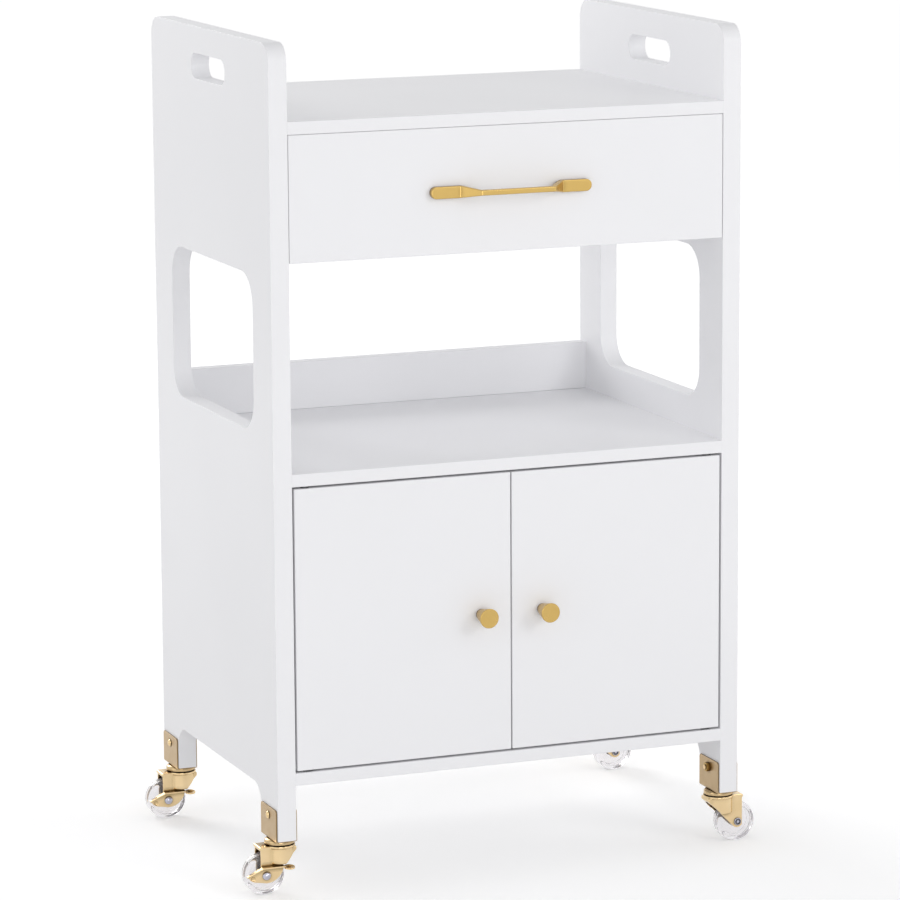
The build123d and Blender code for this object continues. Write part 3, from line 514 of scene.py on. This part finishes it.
ownFinish = {
    "door_bushes": "grey_nylon", "door_pins_left": "dark_steel", "door_pins_right": "dark_steel",
}
finishes = {slotName: makeFinish(slotName + "_finish", look) for slotName, look in finishLooks.items()}
for name, node in frame["nodes"].items():
    for place in range(len(node.data.materials)):
        node.data.materials[place] = finishes[ownFinish.get(name, cadSlots[name])]
print("finishes made:", len(finishes))


# Boards. A lipping on some edges closes part of the gap beside them: left, right and top.
boardLook = {
    "edge": 0.8 * mm, "edgeSteps": 3,
    "lippings": {"drawer_front": (1.45 * mm, 1.45 * mm, 1.25 * mm), "door_left": (0, 0.35 * mm, 0),
                 "door_right": (0.35 * mm, 0, 0)},
}


def makeBoard(node, squareEnds):
    low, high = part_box(node)
    left, right, top = boardLook["lippings"].get(node, (0, 0, 0))
    board = addBlock(node + "_board", low - Vector((left, 0, 0)), high + Vector((right, 0, top)))
    chooseEdges(board, lambda a, b: not squareEnds or abs(a.x - b.x) > tiny)
    bevelChosen(boardLook["edge"], boardLook["edgeSteps"])
    return finishPiece(board, node)


for node in ("top_shelf", "middle_shelf", "bottom_shelf", "shelf_back_rail"):
    makeBoard(node, squareEnds=True)
for node in ("drawer_front", "door_left", "door_right"):
    makeBoard(node, squareEnds=False)
print("shelves, rail, doors and drawer front made")


# Side panels, each with a hand slot, a window and an arch that leaves two legs
sideLook = {
    "topCorner": 18 * mm, "outerEdge": 3 * mm, "outerSteps": 5, "innerEdge": 0.8 * mm, "innerSteps": 3,
    "cornerSteps": 12, "sharpness": 60, "windowJamb": 52 * mm, "windowSill": 32 * mm,
    "windowHeight": 147 * mm, "windowCorner": 30 * mm, "slotLength": 98 * mm, "slotHeight": 24 * mm,
    "slotDrop": 37.5 * mm, "legDepth": 46.5 * mm, "legHeight": 43.4 * mm, "archCorner": 20 * mm,
    "grooveDepth": 5 * mm, "groovePlay": 0.15 * mm, "grooveEnd": 0.3 * mm, "boltHole": 2.6 * mm,
}
boltSeat = sum(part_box("bracket_bolts"), Vector()).z / 2  # height of the bolts' centre line


def addDrill(corner, reach):
    # a drill through the leg of one corner, along X
    low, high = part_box("caster_bracket_" + corner)
    centre = ((low.x + high.x) / 2, (low.y + high.y) / 2, boltSeat)
    return addPin("drill", centre, sideLook["boltHole"], reach, "X", drillSteps)


def addCutter(xRange, yRange, zRange, corner, topOnly=False):
    low = (xRange[0] - sideLook["outerEdge"], yRange[0], zRange[0])
    high = (xRange[1] + sideLook["outerEdge"], yRange[1], zRange[1])
    cutter = addBlock("cutter", low, high)
    middle = sum(zRange) / 2
    chooseEdges(cutter, lambda a, b: abs(a.x - b.x) > tiny and (a.z > middle or not topOnly))
    bevelChosen(corner, sideLook["cornerSteps"])
    return cutter


def makeSide(hand):
    look = sideLook
    node = "side_panel_" + hand
    low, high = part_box(node)
    xRange = (low.x, high.x)
    outerX, innerX = xRange if hand == "left" else reversed(xRange)
    panel = addBlock(node + "_board", low, high)
    chooseEdges(panel, lambda a, b: abs(a.x - b.x) > tiny and a.z > high.z - tiny)
    bevelChosen(look["topCorner"], look["cornerSteps"])
    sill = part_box("middle_shelf")[1].z + look["windowSill"]
    window = addCutter(xRange, (low.y + look["windowJamb"], high.y - look["windowJamb"]),
                       (sill, sill + look["windowHeight"]), look["windowCorner"])
    middleY = (low.y + high.y) / 2
    slotZ = high.z - look["slotDrop"]
    slotHalf = look["slotHeight"] / 2
    slotHole = addCutter(xRange, (middleY - look["slotLength"] / 2, middleY + look["slotLength"] / 2),
                         (slotZ - slotHalf, slotZ + slotHalf), slotHalf - tiny)
    arch = addCutter(xRange, (low.y + look["legDepth"], high.y - look["legDepth"]),
                     (low.z - look["legHeight"], low.z + look["legHeight"]), look["archCorner"],
                     topOnly=True)
    combine(panel, [window, slotHole, arch])
    for faceX, edge in ((outerX, "outer"), (innerX, "inner")):
        sharp = findSharp(panel, look["sharpness"])
        chooseEdges(panel, lambda a, b: max(abs(a.x - faceX), abs(b.x - faceX)) < tiny, sharp)
        bevelChosen(look[edge + "Edge"], look[edge + "Steps"])
    cutters = []
    for panelNode in ("upper_back_panel", "lower_back_panel"):
        panelLow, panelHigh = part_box(panelNode)
        grooveLow = (innerX - look["grooveDepth"], panelLow.y - look["groovePlay"],
                     panelLow.z - look["grooveEnd"])
        grooveHigh = (innerX + look["grooveDepth"], panelHigh.y + look["groovePlay"],
                      panelHigh.z + look["grooveEnd"])
        cutters.append(addBlock("groove", grooveLow, grooveHigh))
    cutters += [addDrill(end + "_" + hand, 3 * (high.x - low.x)) for end in ends]
    combine(panel, cutters)
    return finishPiece(panel, node)


for hand in hands:
    makeSide(hand)
print("side panels made")


# Drawer handle: a bar whose ends are pulled down into legs and flat pads
handleLook = {
    "barLength": 73.6 * mm, "barHeight": 5 * mm, "barDepth": 6 * mm, "legStep": 2.2 * mm,
    "padLength": 29 * mm, "padThickness": 6 * mm, "padHeight": 11.2 * mm, "padCorner": 5.4 * mm,
    "cornerSteps": 10, "footBend": 1.2 * mm, "barBend": 1.4 * mm,
    "edge": 1.1 * mm, "edgeSteps": 4, "edgeAngle": 28,
}


def makeHandle():
    look = handleLook
    low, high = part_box("drawer_handle")
    halfBar = look["barLength"] / 2
    footX = high.x - look["padLength"]
    middleZ = (low.z + high.z) / 2
    underY = low.y + look["barDepth"]
    padY = high.y - look["padThickness"]
    padMiddle = footX + look["padLength"] / 2
    widen = look["padHeight"] / look["barHeight"]
    handle = addBlock("drawer_handle_gold", (-halfBar, low.y, middleZ - look["barHeight"] / 2),
                      (halfBar, underY, middleZ + look["barHeight"] / 2))
    for side in hands.values():
        choosePoints(handle, lambda place: side * place.x > halfBar - tiny and place.y > underY - tiny)
        bpy.ops.transform.translate(value=(-side * look["legStep"], 0, 0))
        leaveEdit()
        chooseFaces(handle, lambda centre, normal: side * normal.x > facing and side * centre.x > 0)
        extrudeBy((side * (footX - halfBar), padY - low.y, 0))
        bpy.ops.transform.resize(value=(1, 1, widen), center_override=(0, 0, middleZ))
        extrudeBy((side * look["padLength"], 0, 0))
        leaveEdit()
        choosePoints(handle, lambda place: side * place.x > padMiddle and place.y > high.y - tiny)
        bpy.ops.transform.translate(value=(side * look["legStep"], 0, 0))
        leaveEdit()
        chooseEdges(handle, lambda a, b: abs(a.y - b.y) > tiny
                    and min(side * a.x, side * b.x) > high.x - tiny)
        bevelChosen(look["padCorner"], look["cornerSteps"])
    near = look["legStep"] + tiny
    for bendX, bend in ((footX, look["footBend"]), (halfBar, look["barBend"])):
        chooseEdges(handle, lambda a, b: abs(a.z - b.z) > tiny and abs(a.x - b.x) < tiny
                    and -near < abs(a.x) - bendX < tiny)
        bevelChosen(bend, bendSteps)
    useModifier(handle, "BEVEL", width=look["edge"], segments=look["edgeSteps"], limit_method="ANGLE",
                angle_limit=radians(look["edgeAngle"]))
    return finishPiece(handle, "drawer_handle")


makeHandle()
print("handle made")


# Door knobs: turned cones with a flat face and a bright narrow chamfer
knobLook = {
    "baseRadius": 5 * mm, "faceRadius": 9.5 * mm, "chamfer": 0.7 * mm, "dish": 0.12 * mm,
    "baseRound": 0.3 * mm, "rimRound": 0.2 * mm, "faceRound": 0.15 * mm, "smoothAngle": 25,
}


def makeKnob(hand):
    look = knobLook
    node = "door_knob_" + hand
    low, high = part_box(node)
    length = high.y - low.y
    rimHeight = length - look["chamfer"]
    rimRadius = look["baseRadius"] + (look["faceRadius"] - look["baseRadius"]) * rimHeight / length
    profile = [(0, 0), (look["baseRadius"], 0, look["baseRound"]), (rimRadius, rimHeight, look["rimRound"]),
               (look["faceRadius"] - look["chamfer"], length, look["faceRound"]),
               (0, length - look["dish"])]
    knob = turnPiece(node + "_gold", profile, steps=largeSteps)
    centre = ((low.x + high.x) / 2, high.y, (low.z + high.z) / 2)
    placePiece(knob, Matrix.Translation(centre) @ turned(90, "X"))
    return finishPiece(knob, node, look["smoothAngle"])


for hand in hands:
    makeKnob(hand)
print("knobs made")


# Casters, modelled once about the swivel axis, trailing towards +X, and copied to the corners
casterLook = {
    "trail": 16.5 * mm, "axleHeight": 19.5 * mm, "cheekInner": 7.2 * mm, "cheekOuter": 9.2 * mm,
    "plateBottom": 44.5 * mm, "plateTop": 46.7 * mm, "flangeRadius": 15 * mm, "hoodRadius": 14 * mm,
    "hoodBottom": 29.5 * mm, "gauge": 2 * mm, "tabReach": 22.5 * mm, "tabFold": 3 * mm,
    "tabBend": 1.4 * mm, "bossRadius": 6 * mm, "bossSteps": 12, "cheekLean": 45,
    "trailingReach": 5 * mm, "trailingStart": 2 * mm, "axleRadius": 3 * mm, "pinRadius": 3.05 * mm,
    "voxel": 0.32 * mm, "smoothFactor": 0.5, "smoothing": 10, "smoothAngle": 50,
}
toAxle = Matrix.Translation((casterLook["trail"], 0, casterLook["axleHeight"]))


def sideOutline():
    # cheeks seen from the side: upright behind the axle, slanting up from its boss in front
    look = casterLook
    x, z, top = look["trail"], look["axleHeight"], look["plateBottom"]
    radius, lean = look["bossRadius"], radians(look["cheekLean"])
    backX = x + look["trailingReach"]
    leadX = x - radius * sin(lean) - (top - z + radius * cos(lean)) / tan(lean)
    outline = []
    for step in range(look["bossSteps"] + 1):
        angle = (pi / 2 + lean) * (step / look["bossSteps"] - 1)
        outline.append((x + radius * cos(angle), z + radius * sin(angle)))
    return outline + [(backX, z + look["trailingStart"]), (backX, top), (leadX, top)]


def makeFork():
    look = casterLook
    reach = look["trail"] + look["trailingReach"]
    low, top = look["axleHeight"] - look["bossRadius"], look["plateBottom"]
    past = low - look["gauge"] / 2  # below the fork
    far = 3 * look["hoodRadius"]  # beside it
    outer, inner = look["cheekOuter"], look["cheekInner"]
    hoodFloor = look["hoodBottom"] + look["gauge"]
    fork = addDisc("fork", look["hoodRadius"], look["hoodBottom"], top)
    cheeks = addBlock("cheeks", (-look["hoodRadius"], -outer, low), (reach + tiny, outer, top))
    combine(fork, [cheeks], "UNION")
    hollow = addDisc("hollow", look["hoodRadius"] - look["gauge"], hoodFloor, top - look["gauge"] / 2)
    trough = addBlock("trough", (-far, -inner, past), (far, inner, hoodFloor))
    channel = addBlock("channel", (0, -inner, past), (far, inner, top - look["gauge"]))
    combine(fork, [hollow, trough, channel])
    profile = drawPlate("profile", [(x, -far, z) for x, z in sideOutline()], (0, 2 * far, 0))
    combine(fork, [profile], "INTERSECT")
    plate = addDisc("plate", look["flangeRadius"], top, look["plateTop"])
    tab = addBlock("tab", (0, -outer, top), (look["tabReach"], outer, look["plateTop"]))
    fold = addBlock("fold", (look["tabReach"] - look["gauge"], -outer, look["plateTop"] - look["tabFold"]),
                    (look["tabReach"], outer, look["plateTop"]))
    for part in (tab, fold):
        chooseEdges(part, lambda a, b: abs(a.y - b.y) > tiny and a.z > look["plateTop"] - tiny
                    and min(a.x, b.x) > look["tabReach"] - tiny)
        bevelChosen(look["tabBend"], bendSteps)
    combine(fork, [plate, tab, fold], "UNION")
    softenStamping(fork, look)
    pinHole = addDisc("pinHole", look["pinRadius"], hoodFloor, look["plateTop"] + look["gauge"], smallSteps)
    axleHole = addPin("axleHole", toAxle.translation, look["axleRadius"], far, "Y")
    combine(fork, [pinHole, axleHole])
    return fork


# Clear moulded wheels, turned about the axle
wheelLook = {
    "radius": 19.5 * mm, "halfWidth": 6.5 * mm, "edge": 2.5 * mm, "hubRadius": 6 * mm,
    "hubHalfWidth": 6.9 * mm, "recess": 1.6 * mm, "rim": 4.2 * mm, "bore": 3.05 * mm, "soften": 0.5 * mm,
}


def makeWheel():
    look = wheelLook
    inner = look["radius"] - look["rim"]
    web = look["halfWidth"] - look["recess"]
    soft = look["soften"]
    half = [(look["bore"], look["hubHalfWidth"]), (look["hubRadius"], look["hubHalfWidth"], soft),
            (look["hubRadius"], web, soft), (inner, web, soft), (inner, look["halfWidth"], soft),
            (look["radius"], look["halfWidth"], look["edge"])]
    profile = half + [(radius, -height, *rounding) for radius, height, *rounding in reversed(half)]
    wheel = turnPiece("wheel", profile, closed=True, steps=largeSteps)
    return placePiece(wheel, toAxle @ turned(90, "X"))


# The rivet's end has a ring groove: where it starts, bottoms and ends is a share of the radius.
axleLook = {
    "shank": 2.98 * mm, "headRadius": 4.25 * mm, "headHeight": 2.4 * mm, "leverRoom": 2.1 * mm,
    "rivetRadius": 3.65 * mm, "rivetHeight": 1 * mm, "rivetRound": 0.3 * mm, "rivetGroove": 0.8 * mm,
    "grooveShares": (0.38, 0.46, 0.74, 0.82),
}


def makeAxle(braked):
    look = axleLook
    seat = casterLook["cheekOuter"] + (look["leverRoom"] if braked else 0)
    back = -casterLook["cheekOuter"]
    rivetEnd = back - look["rivetHeight"]
    sunk = rivetEnd + look["rivetGroove"]
    heights = (rivetEnd, rivetEnd, sunk, sunk, rivetEnd)
    profile = [(look["rivetRadius"] * share, height)
               for share, height in zip((0, *look["grooveShares"]), heights)]
    profile += [(look["rivetRadius"], rivetEnd, look["rivetRound"]), (look["rivetRadius"], back),
                (look["shank"], back), (look["shank"], seat)]
    profile += domeProfile(look["headRadius"], look["headHeight"], seat)
    return placePiece(turnPiece("axle", profile), toAxle @ turned(-90, "X"))


# Brake lever. Its tail's points are seen from the axle, and its dish is in shares of the pedal's width.
leverLook = {
    "inner": 9.5 * mm, "gauge": 1.5 * mm, "bossRadius": 7.3 * mm, "bore": 3.05 * mm,
    "topRise": 8.7 * mm, "shoulder": 45, "tail": (19.4 * mm, 1 * mm), "tailEnd": (14.5 * mm, -4.9 * mm),
    "corners": (3 * mm, 1.2 * mm, 4 * mm), "cornerSteps": 8, "frontReach": 17.2 * mm, "frontSteps": 12,
    "flangeWidth": 5.5 * mm, "tailFlangeWidth": 2.6 * mm, "overlap": 1 * mm,
    "pedalStart": 16 * mm, "pedalReach": 26.5 * mm, "pedalWidth": 10 * mm, "pedalCorner": 4.6 * mm,
    "pedalSteps": 10, "pedalSlope": 9, "dish": 0.7 * mm, "dishPlace": 0.55, "dishShares": (0.4, 0.36),
    "dimpleReach": 13.2 * mm, "dimpleDrop": 2 * mm, "dimpleRadius": 2.3 * mm, "dimpleDepth": 1.1 * mm,
    "voxel": 0.26 * mm, "smoothFactor": 0.5, "smoothing": 6,
}


def makeLever():
    look = leverLook
    x, z = casterLook["trail"], casterLook["axleHeight"]
    boss, gauge = look["bossRadius"], look["gauge"]
    bossX = x + boss * sin(radians(look["shoulder"]))
    tailX, tailZ = x + look["tail"][0], z + look["tail"][1]
    top = z + look["topRise"]
    inner, outer = look["inner"], look["inner"] + gauge
    reach, rise = look["frontReach"], look["topRise"] + boss
    sweep = (reach ** 2 + rise ** 2) / (2 * rise)  # radius of the front edge, level under the axle
    turn = asin(reach / sweep)
    outline = [(x + look["tailEnd"][0], inner, z + look["tailEnd"][1]), (tailX, inner, tailZ),
               (bossX, inner, top)]
    corners = list(zip(outline, look["corners"]))
    for step in range(look["frontSteps"] + 1):
        angle = turn * (1 - step / look["frontSteps"])
        outline.append((x - sweep * sin(angle), inner, z - boss + sweep * (1 - cos(angle))))
    lever = drawPlate("lever", outline, (0, gauge, 0), corners, look["cornerSteps"])
    disc = addPin("disc", (x, (inner + outer) / 2, z), boss, gauge, "Y", largeSteps)
    flangeY, under = inner + look["flangeWidth"], top - gauge
    shelf = addBlock("shelf", (x - reach, inner, under), (bossX, flangeY, top))
    slopeX = bossX - look["overlap"]
    slope = drawPlate("slope", [(slopeX, inner, under), (slopeX, flangeY, under),
                                (tailX, inner + look["tailFlangeWidth"], tailZ - gauge),
                                (tailX, inner, tailZ - gauge)], (0, 0, gauge))
    pedal = addBlock("pedal", (x - look["pedalReach"], inner, under),
                     (x - look["pedalStart"], inner + look["pedalWidth"], top))
    chooseEdges(pedal, lambda a, b: abs(a.z - b.z) > tiny)
    bevelChosen(look["pedalCorner"], look["pedalSteps"])
    root = Vector((x - look["pedalStart"], inner, top))
    lean = turned(-look["pedalSlope"], "X")
    placePiece(pedal, Matrix.Translation(root) @ lean @ Matrix.Translation(-root))
    combine(lever, [disc, shelf, slope, pedal], "UNION")
    dimple = addBead("dimple", (x + look["dimpleReach"], outer, z - look["dimpleDrop"]),
                     (look["dimpleRadius"], look["dimpleDepth"], look["dimpleRadius"]))
    dishOut = look["pedalWidth"] * look["dishPlace"]
    dishTop = top - dishOut * sin(radians(look["pedalSlope"]))
    dishLength, dishWidth = (look["pedalWidth"] * share for share in look["dishShares"])
    dish = addBead("dish", (x - (look["pedalStart"] + look["pedalReach"]) / 2, inner + dishOut, dishTop),
                   (dishLength, dishWidth, look["dish"]))
    combine(lever, [dimple, dish])
    softenStamping(lever, look)
    combine(lever, [addPin("bore", (x, outer, z), look["bore"], 6 * gauge, "Y")])
    return lever


# Swivel caps, turned about the kingpin
capLook = {
    "radius": 14.25 * mm, "gauge": 1.5 * mm, "drop": 4.8 * mm, "bend": 3 * mm, "rimRound": 0.4 * mm,
    "top": 52.5 * mm, "hole": 3.05 * mm,
}


def makeCap():
    look = capLook
    top, bottom = look["top"], look["top"] - look["drop"]
    inner, ceiling = look["radius"] - look["gauge"], look["top"] - look["gauge"]
    profile = [(look["hole"], top), (look["radius"], top, look["bend"]),
               (look["radius"], bottom, look["rimRound"]), (inner, bottom, look["rimRound"]),
               (inner, ceiling, look["bend"] - look["gauge"]), (look["hole"], ceiling)]
    return turnPiece("cap", profile, closed=True)


# Clamp brackets round the legs, with the bolt and nut that hold each one
bracketLook = {
    "gauge": 1.5 * mm, "corner": 3 * mm, "cornerSteps": 8, "bend": 1.2 * mm,
    "edge": 0.25 * mm, "edgeSteps": 2, "edgeAngle": 50,
    "boltRadius": 2.45 * mm, "tipRound": 0.5 * mm, "boltEnd": 1.2 * mm,
    "headRadius": 4 * mm, "headRim": 0.5 * mm, "headRound": 0.15 * mm, "headHeight": 2.4 * mm,
    "nutSides": 6, "nutWidth": 8 * mm, "nutHeight": 3.5 * mm, "nutChamfer": 0.35 * mm,
    "nutCone": 1.1 * mm, "nutFlare": 0.1375 * mm, "nutPlay": 0.1 * mm, "nutAngle": 30,
}


def makeBracket(corner):
    look = bracketLook
    node = "caster_bracket_" + corner
    low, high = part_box(node)
    bracket = addBlock(node + "_plate", low, (high.x, high.y, low.z + look["gauge"]))
    for x in (low.x + look["gauge"], high.x - look["gauge"]):
        enterWhole(bracket, "FACE")
        bpy.ops.mesh.bisect(plane_co=(x, 0, 0), plane_no=(1, 0, 0))
        leaveEdit()
    middleX = (low.x + high.x) / 2
    halfIn = (high.x - low.x) / 2 - look["gauge"]
    outer = halfIn + look["gauge"] - tiny
    chooseFaces(bracket, lambda centre, normal: normal.z > facing and abs(centre.x - middleX) > halfIn)
    extrudeBy((0, 0, high.z - low.z - look["gauge"]))
    leaveEdit()
    chooseEdges(bracket, lambda a, b: min(a.z, b.z) > high.z - tiny and abs(a.x - b.x) > tiny)
    bevelChosen(look["corner"], look["cornerSteps"])
    chooseEdges(bracket, lambda a, b: max(a.z, b.z) < low.z + tiny and abs(a.y - b.y) > tiny
                and min(abs(a.x - middleX), abs(b.x - middleX)) > outer)
    bevelChosen(look["bend"], bendSteps)
    combine(bracket, [addDrill(corner, 2 * (high.x - low.x))])
    useModifier(bracket, "BEVEL", width=look["edge"], segments=look["edgeSteps"], limit_method="ANGLE",
                angle_limit=radians(look["edgeAngle"]))
    # the brackets take the rougher plating whose darker colour is partly painted shade
    return finishPiece(bracket, node, finish="gold_plate_painted_shade")


def makeBolt(grip):
    # domed head above the seat at the origin, shank and threaded end below it
    look = bracketLook
    rim = look["headRim"]
    tip = -(grip + look["nutHeight"] + look["boltEnd"])
    profile = [(0, tip), (look["boltRadius"], tip, look["tipRound"]), (look["boltRadius"], 0),
               (look["headRadius"] - rim, 0), (look["headRadius"], rim, look["headRound"])]
    profile += domeProfile(look["headRadius"] - rim / 2, look["headHeight"] - rim, rim)
    return turnPiece("bolt", profile, steps=smallSteps)


def makeNut():
    # a hexagon whose corners are chamfered by a cone at each end
    look = bracketLook
    height, chamfer = look["nutHeight"], look["nutChamfer"]
    radius = look["nutWidth"] / 2 / cos(pi / look["nutSides"])
    narrow, wide = radius - look["nutCone"], radius + look["nutFlare"]
    nut = addDisc("nut", radius, 0, height, look["nutSides"])
    half = [(0, -chamfer), (narrow, -chamfer), (wide, chamfer)]
    crown = turnPiece("crown", half + [(width, height - level) for width, level in reversed(half)])
    combine(nut, [crown], "INTERSECT")
    combine(nut, [addDisc("hole", look["boltRadius"] + look["nutPlay"], -height, 2 * height, drillSteps)])
    return nut


def copyCaster(masters, corner, braked, place):
    stamped = casterLook["smoothAngle"]
    finishPiece(copyPiece(masters["fork"], "caster_fork_" + corner + "_stamped", place),
                "caster_fork_" + corner, stamped)
    finishPiece(copyPiece(masters["wheel"], "caster_wheel_" + corner + "_clear", place),
                "caster_wheel_" + corner)
    axle = masters["brakedAxle" if braked else "axle"]
    finishPiece(copyPiece(axle, "caster_axle_" + corner + "_chrome", place), "caster_axle_" + corner)
    if braked:
        finishPiece(copyPiece(masters["lever"], "brake_lever_" + corner + "_stamped", place),
                    "brake_lever_" + corner, stamped)


def makeCasters():
    low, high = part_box("caster_bracket_front_left")
    masters = {"fork": makeFork(), "wheel": makeWheel(), "lever": makeLever(), "cap": makeCap(),
               "brakedAxle": makeAxle(True), "axle": makeAxle(False),
               "bolt": makeBolt(high.x - low.x), "nut": makeNut()}
    print("caster parts modelled")
    caps, bolts, nuts = [], [], []
    for corner, side in [(end + "_" + hand, side) for end in ends for hand, side in hands.items()]:
        low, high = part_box("caster_bracket_" + corner)
        outerX, innerX = (high.x, low.x) if side > 0 else (low.x, high.x)
        centre = (low + high) / 2
        place = Matrix.Translation((centre.x, centre.y, 0)) @ turned(180 if side < 0 else 0, "Z")
        copyCaster(masters, corner, side < 0, place)
        makeBracket(corner)
        caps.append(copyPiece(masters["cap"], "cap", place))
        outward = Matrix.Translation((outerX, centre.y, boltSeat)) @ turned(90 * side, "Y")
        inward = Matrix.Translation((innerX, centre.y, boltSeat)) @ turned(-90 * side, "Y")
        bolts.append(copyPiece(masters["bolt"], "bolt", outward))
        nuts.append(copyPiece(masters["nut"], "nut", inward))
    finishPiece(joinPieces("swivel_caps_turned", caps), "swivel_caps", finish="gold_cap")
    finishPiece(joinPieces("bracket_bolts_domed", bolts), "bracket_bolts", finish="gold_bolt")
    finishPiece(joinPieces("bracket_nuts_hex", nuts), "bracket_nuts", bracketLook["nutAngle"], "satin_gold")
    for master in masters.values():
        bpy.data.objects.remove(master)


makeCasters()
print("casters made")


# Floor, light and camera
stageLook = {
    "floorSize": 60.0, "floorColor": (0.92, 0.92, 0.92), "glowNear": 0.25, "glowFar": 0.50,
    "nearReach": 0.7, "farReach": 2.6, "skyLevel": 0.57, "skyColor": (0.99, 0.99, 1.0),
    "seenLevel": 1.0, "seenColor": (1, 1, 1),
}


def seenMask(nodes, link):
    # 1 where the camera, a mirror or a clear part looks, and 0 for light that falls on things
    path = nodes.new("ShaderNodeLightPath")
    first = nodes.new("ShaderNodeMath")
    second = nodes.new("ShaderNodeMath")
    for step in (first, second):
        step.operation = "MAXIMUM"
    link(path.outputs["Is Camera Ray"], first.inputs[0])
    link(path.outputs["Is Glossy Ray"], first.inputs[1])
    link(first.outputs[0], second.inputs[0])
    link(path.outputs["Is Transmission Ray"], second.inputs[1])
    return second.outputs[0]


def makeFloor():
    # a pale floor that keeps the trolley's shadow and brightens to white away from it
    look = stageLook
    deselectAll()
    bpy.ops.mesh.primitive_plane_add(size=look["floorSize"], location=(0, 0, 0))
    floor = nameNew("studio_floor")
    material = bpy.data.materials.new("paleFloor")
    material.use_nodes = True
    nodes = material.node_tree.nodes
    link = material.node_tree.links.new
    nodes.remove(nodes["Principled BSDF"])
    place = nodes.new("ShaderNodeTexCoord")
    reach = nodes.new("ShaderNodeVectorMath")
    reach.operation = "LENGTH"
    rise = nodes.new("ShaderNodeMapRange")
    rise.interpolation_type = "SMOOTHSTEP"
    rise.inputs["From Min"].default_value = look["nearReach"]
    rise.inputs["From Max"].default_value = look["farReach"]
    rise.inputs["To Min"].default_value = look["glowNear"]
    rise.inputs["To Max"].default_value = look["glowFar"]
    lift = nodes.new("ShaderNodeMath")
    lift.operation = "MULTIPLY"
    matte = nodes.new("ShaderNodeBsdfDiffuse")
    matte.inputs["Color"].default_value = (*look["floorColor"], 1)
    glow = nodes.new("ShaderNodeEmission")
    whole = nodes.new("ShaderNodeAddShader")
    link(place.outputs["Object"], reach.inputs[0])
    link(reach.outputs["Value"], rise.inputs["Value"])
    link(seenMask(nodes, link), lift.inputs[0])
    link(rise.outputs["Result"], lift.inputs[1])
    link(lift.outputs[0], glow.inputs["Strength"])
    link(matte.outputs[0], whole.inputs[0])
    link(glow.outputs[0], whole.inputs[1])
    link(whole.outputs[0], nodes["Material Output"].inputs["Surface"])
    floor.data.materials.append(material)


def makeWorld():
    # dim light on things, and plain white wherever the world itself is seen
    look = stageLook
    world = bpy.data.worlds.new("studioWhite")
    bpy.context.scene.world = world
    world.use_nodes = True
    nodes = world.node_tree.nodes
    link = world.node_tree.links.new
    light = nodes["Background"]
    seen = nodes.new("ShaderNodeBackground")
    for sky, kind in ((light, "sky"), (seen, "seen")):
        sky.inputs["Color"].default_value = (*look[kind + "Color"], 1)
        sky.inputs["Strength"].default_value = look[kind + "Level"]
    choose = nodes.new("ShaderNodeMixShader")
    link(seenMask(nodes, link), choose.inputs[0])
    link(light.outputs[0], choose.inputs[1])
    link(seen.outputs[0], choose.inputs[2])
    link(choose.outputs[0], nodes["World Output"].inputs["Surface"])


lampLooks = {
    "keySoftbox": {"place": (1.53, -2.72, 1.71), "size": 1.2, "power": 15.5},
    "frontSoftbox": {"place": (-0.6, -3.4, 0.75), "size": 1.4, "power": 18},
    "leftSoftbox": {"place": (-3.04, -0.8, 0.99), "size": 1.6, "power": 5.5},
    "backSoftbox": {"place": (-0.96, 2.88, 1.63), "size": 1.6, "power": 42},
    "rightSoftbox": {"place": (3.0, -0.6, 1.1), "size": 1.6, "power": 10},
}
lampAim = Vector((0, 0, 0.35))


def addLamp(name, look):
    deselectAll()
    bpy.ops.object.light_add(type="AREA", location=look["place"])
    lamp = bpy.context.object
    lamp.name = name
    lamp.data.size = look["size"]
    lamp.data.energy = look["power"]
    aim = lampAim - Vector(look["place"])
    lamp.rotation_euler = aim.to_track_quat("-Z", "Y").to_euler()


cameraLook = {
    "place": (-1535.59 * mm, -3877.18 * mm, 1154.44 * mm), "yaw": 21.631, "pitch": 10.521, "roll": 0.367,
    "focalPixels": 4385.81, "framePixels": 900, "sensor": 36.0, "clipEnd": 100,
}


def addCamera():
    look = cameraLook
    deselectAll()
    bpy.ops.object.camera_add(location=look["place"])
    camera = bpy.context.object
    camera.name = "photoCamera"
    turn = turned(-look["yaw"], "Z") @ turned(90 - look["pitch"], "X") @ turned(-look["roll"], "Z")
    camera.rotation_euler = turn.to_euler()
    camera.data.sensor_width = look["sensor"]
    camera.data.lens = look["focalPixels"] * look["sensor"] / look["framePixels"]
    camera.data.clip_end = look["clipEnd"]
    bpy.context.scene.camera = camera


makeFloor()
makeWorld()
for name, look in lampLooks.items():
    addLamp(name, look)
addCamera()
bpy.context.scene.view_settings.view_transform = "Standard"
print("stage set")
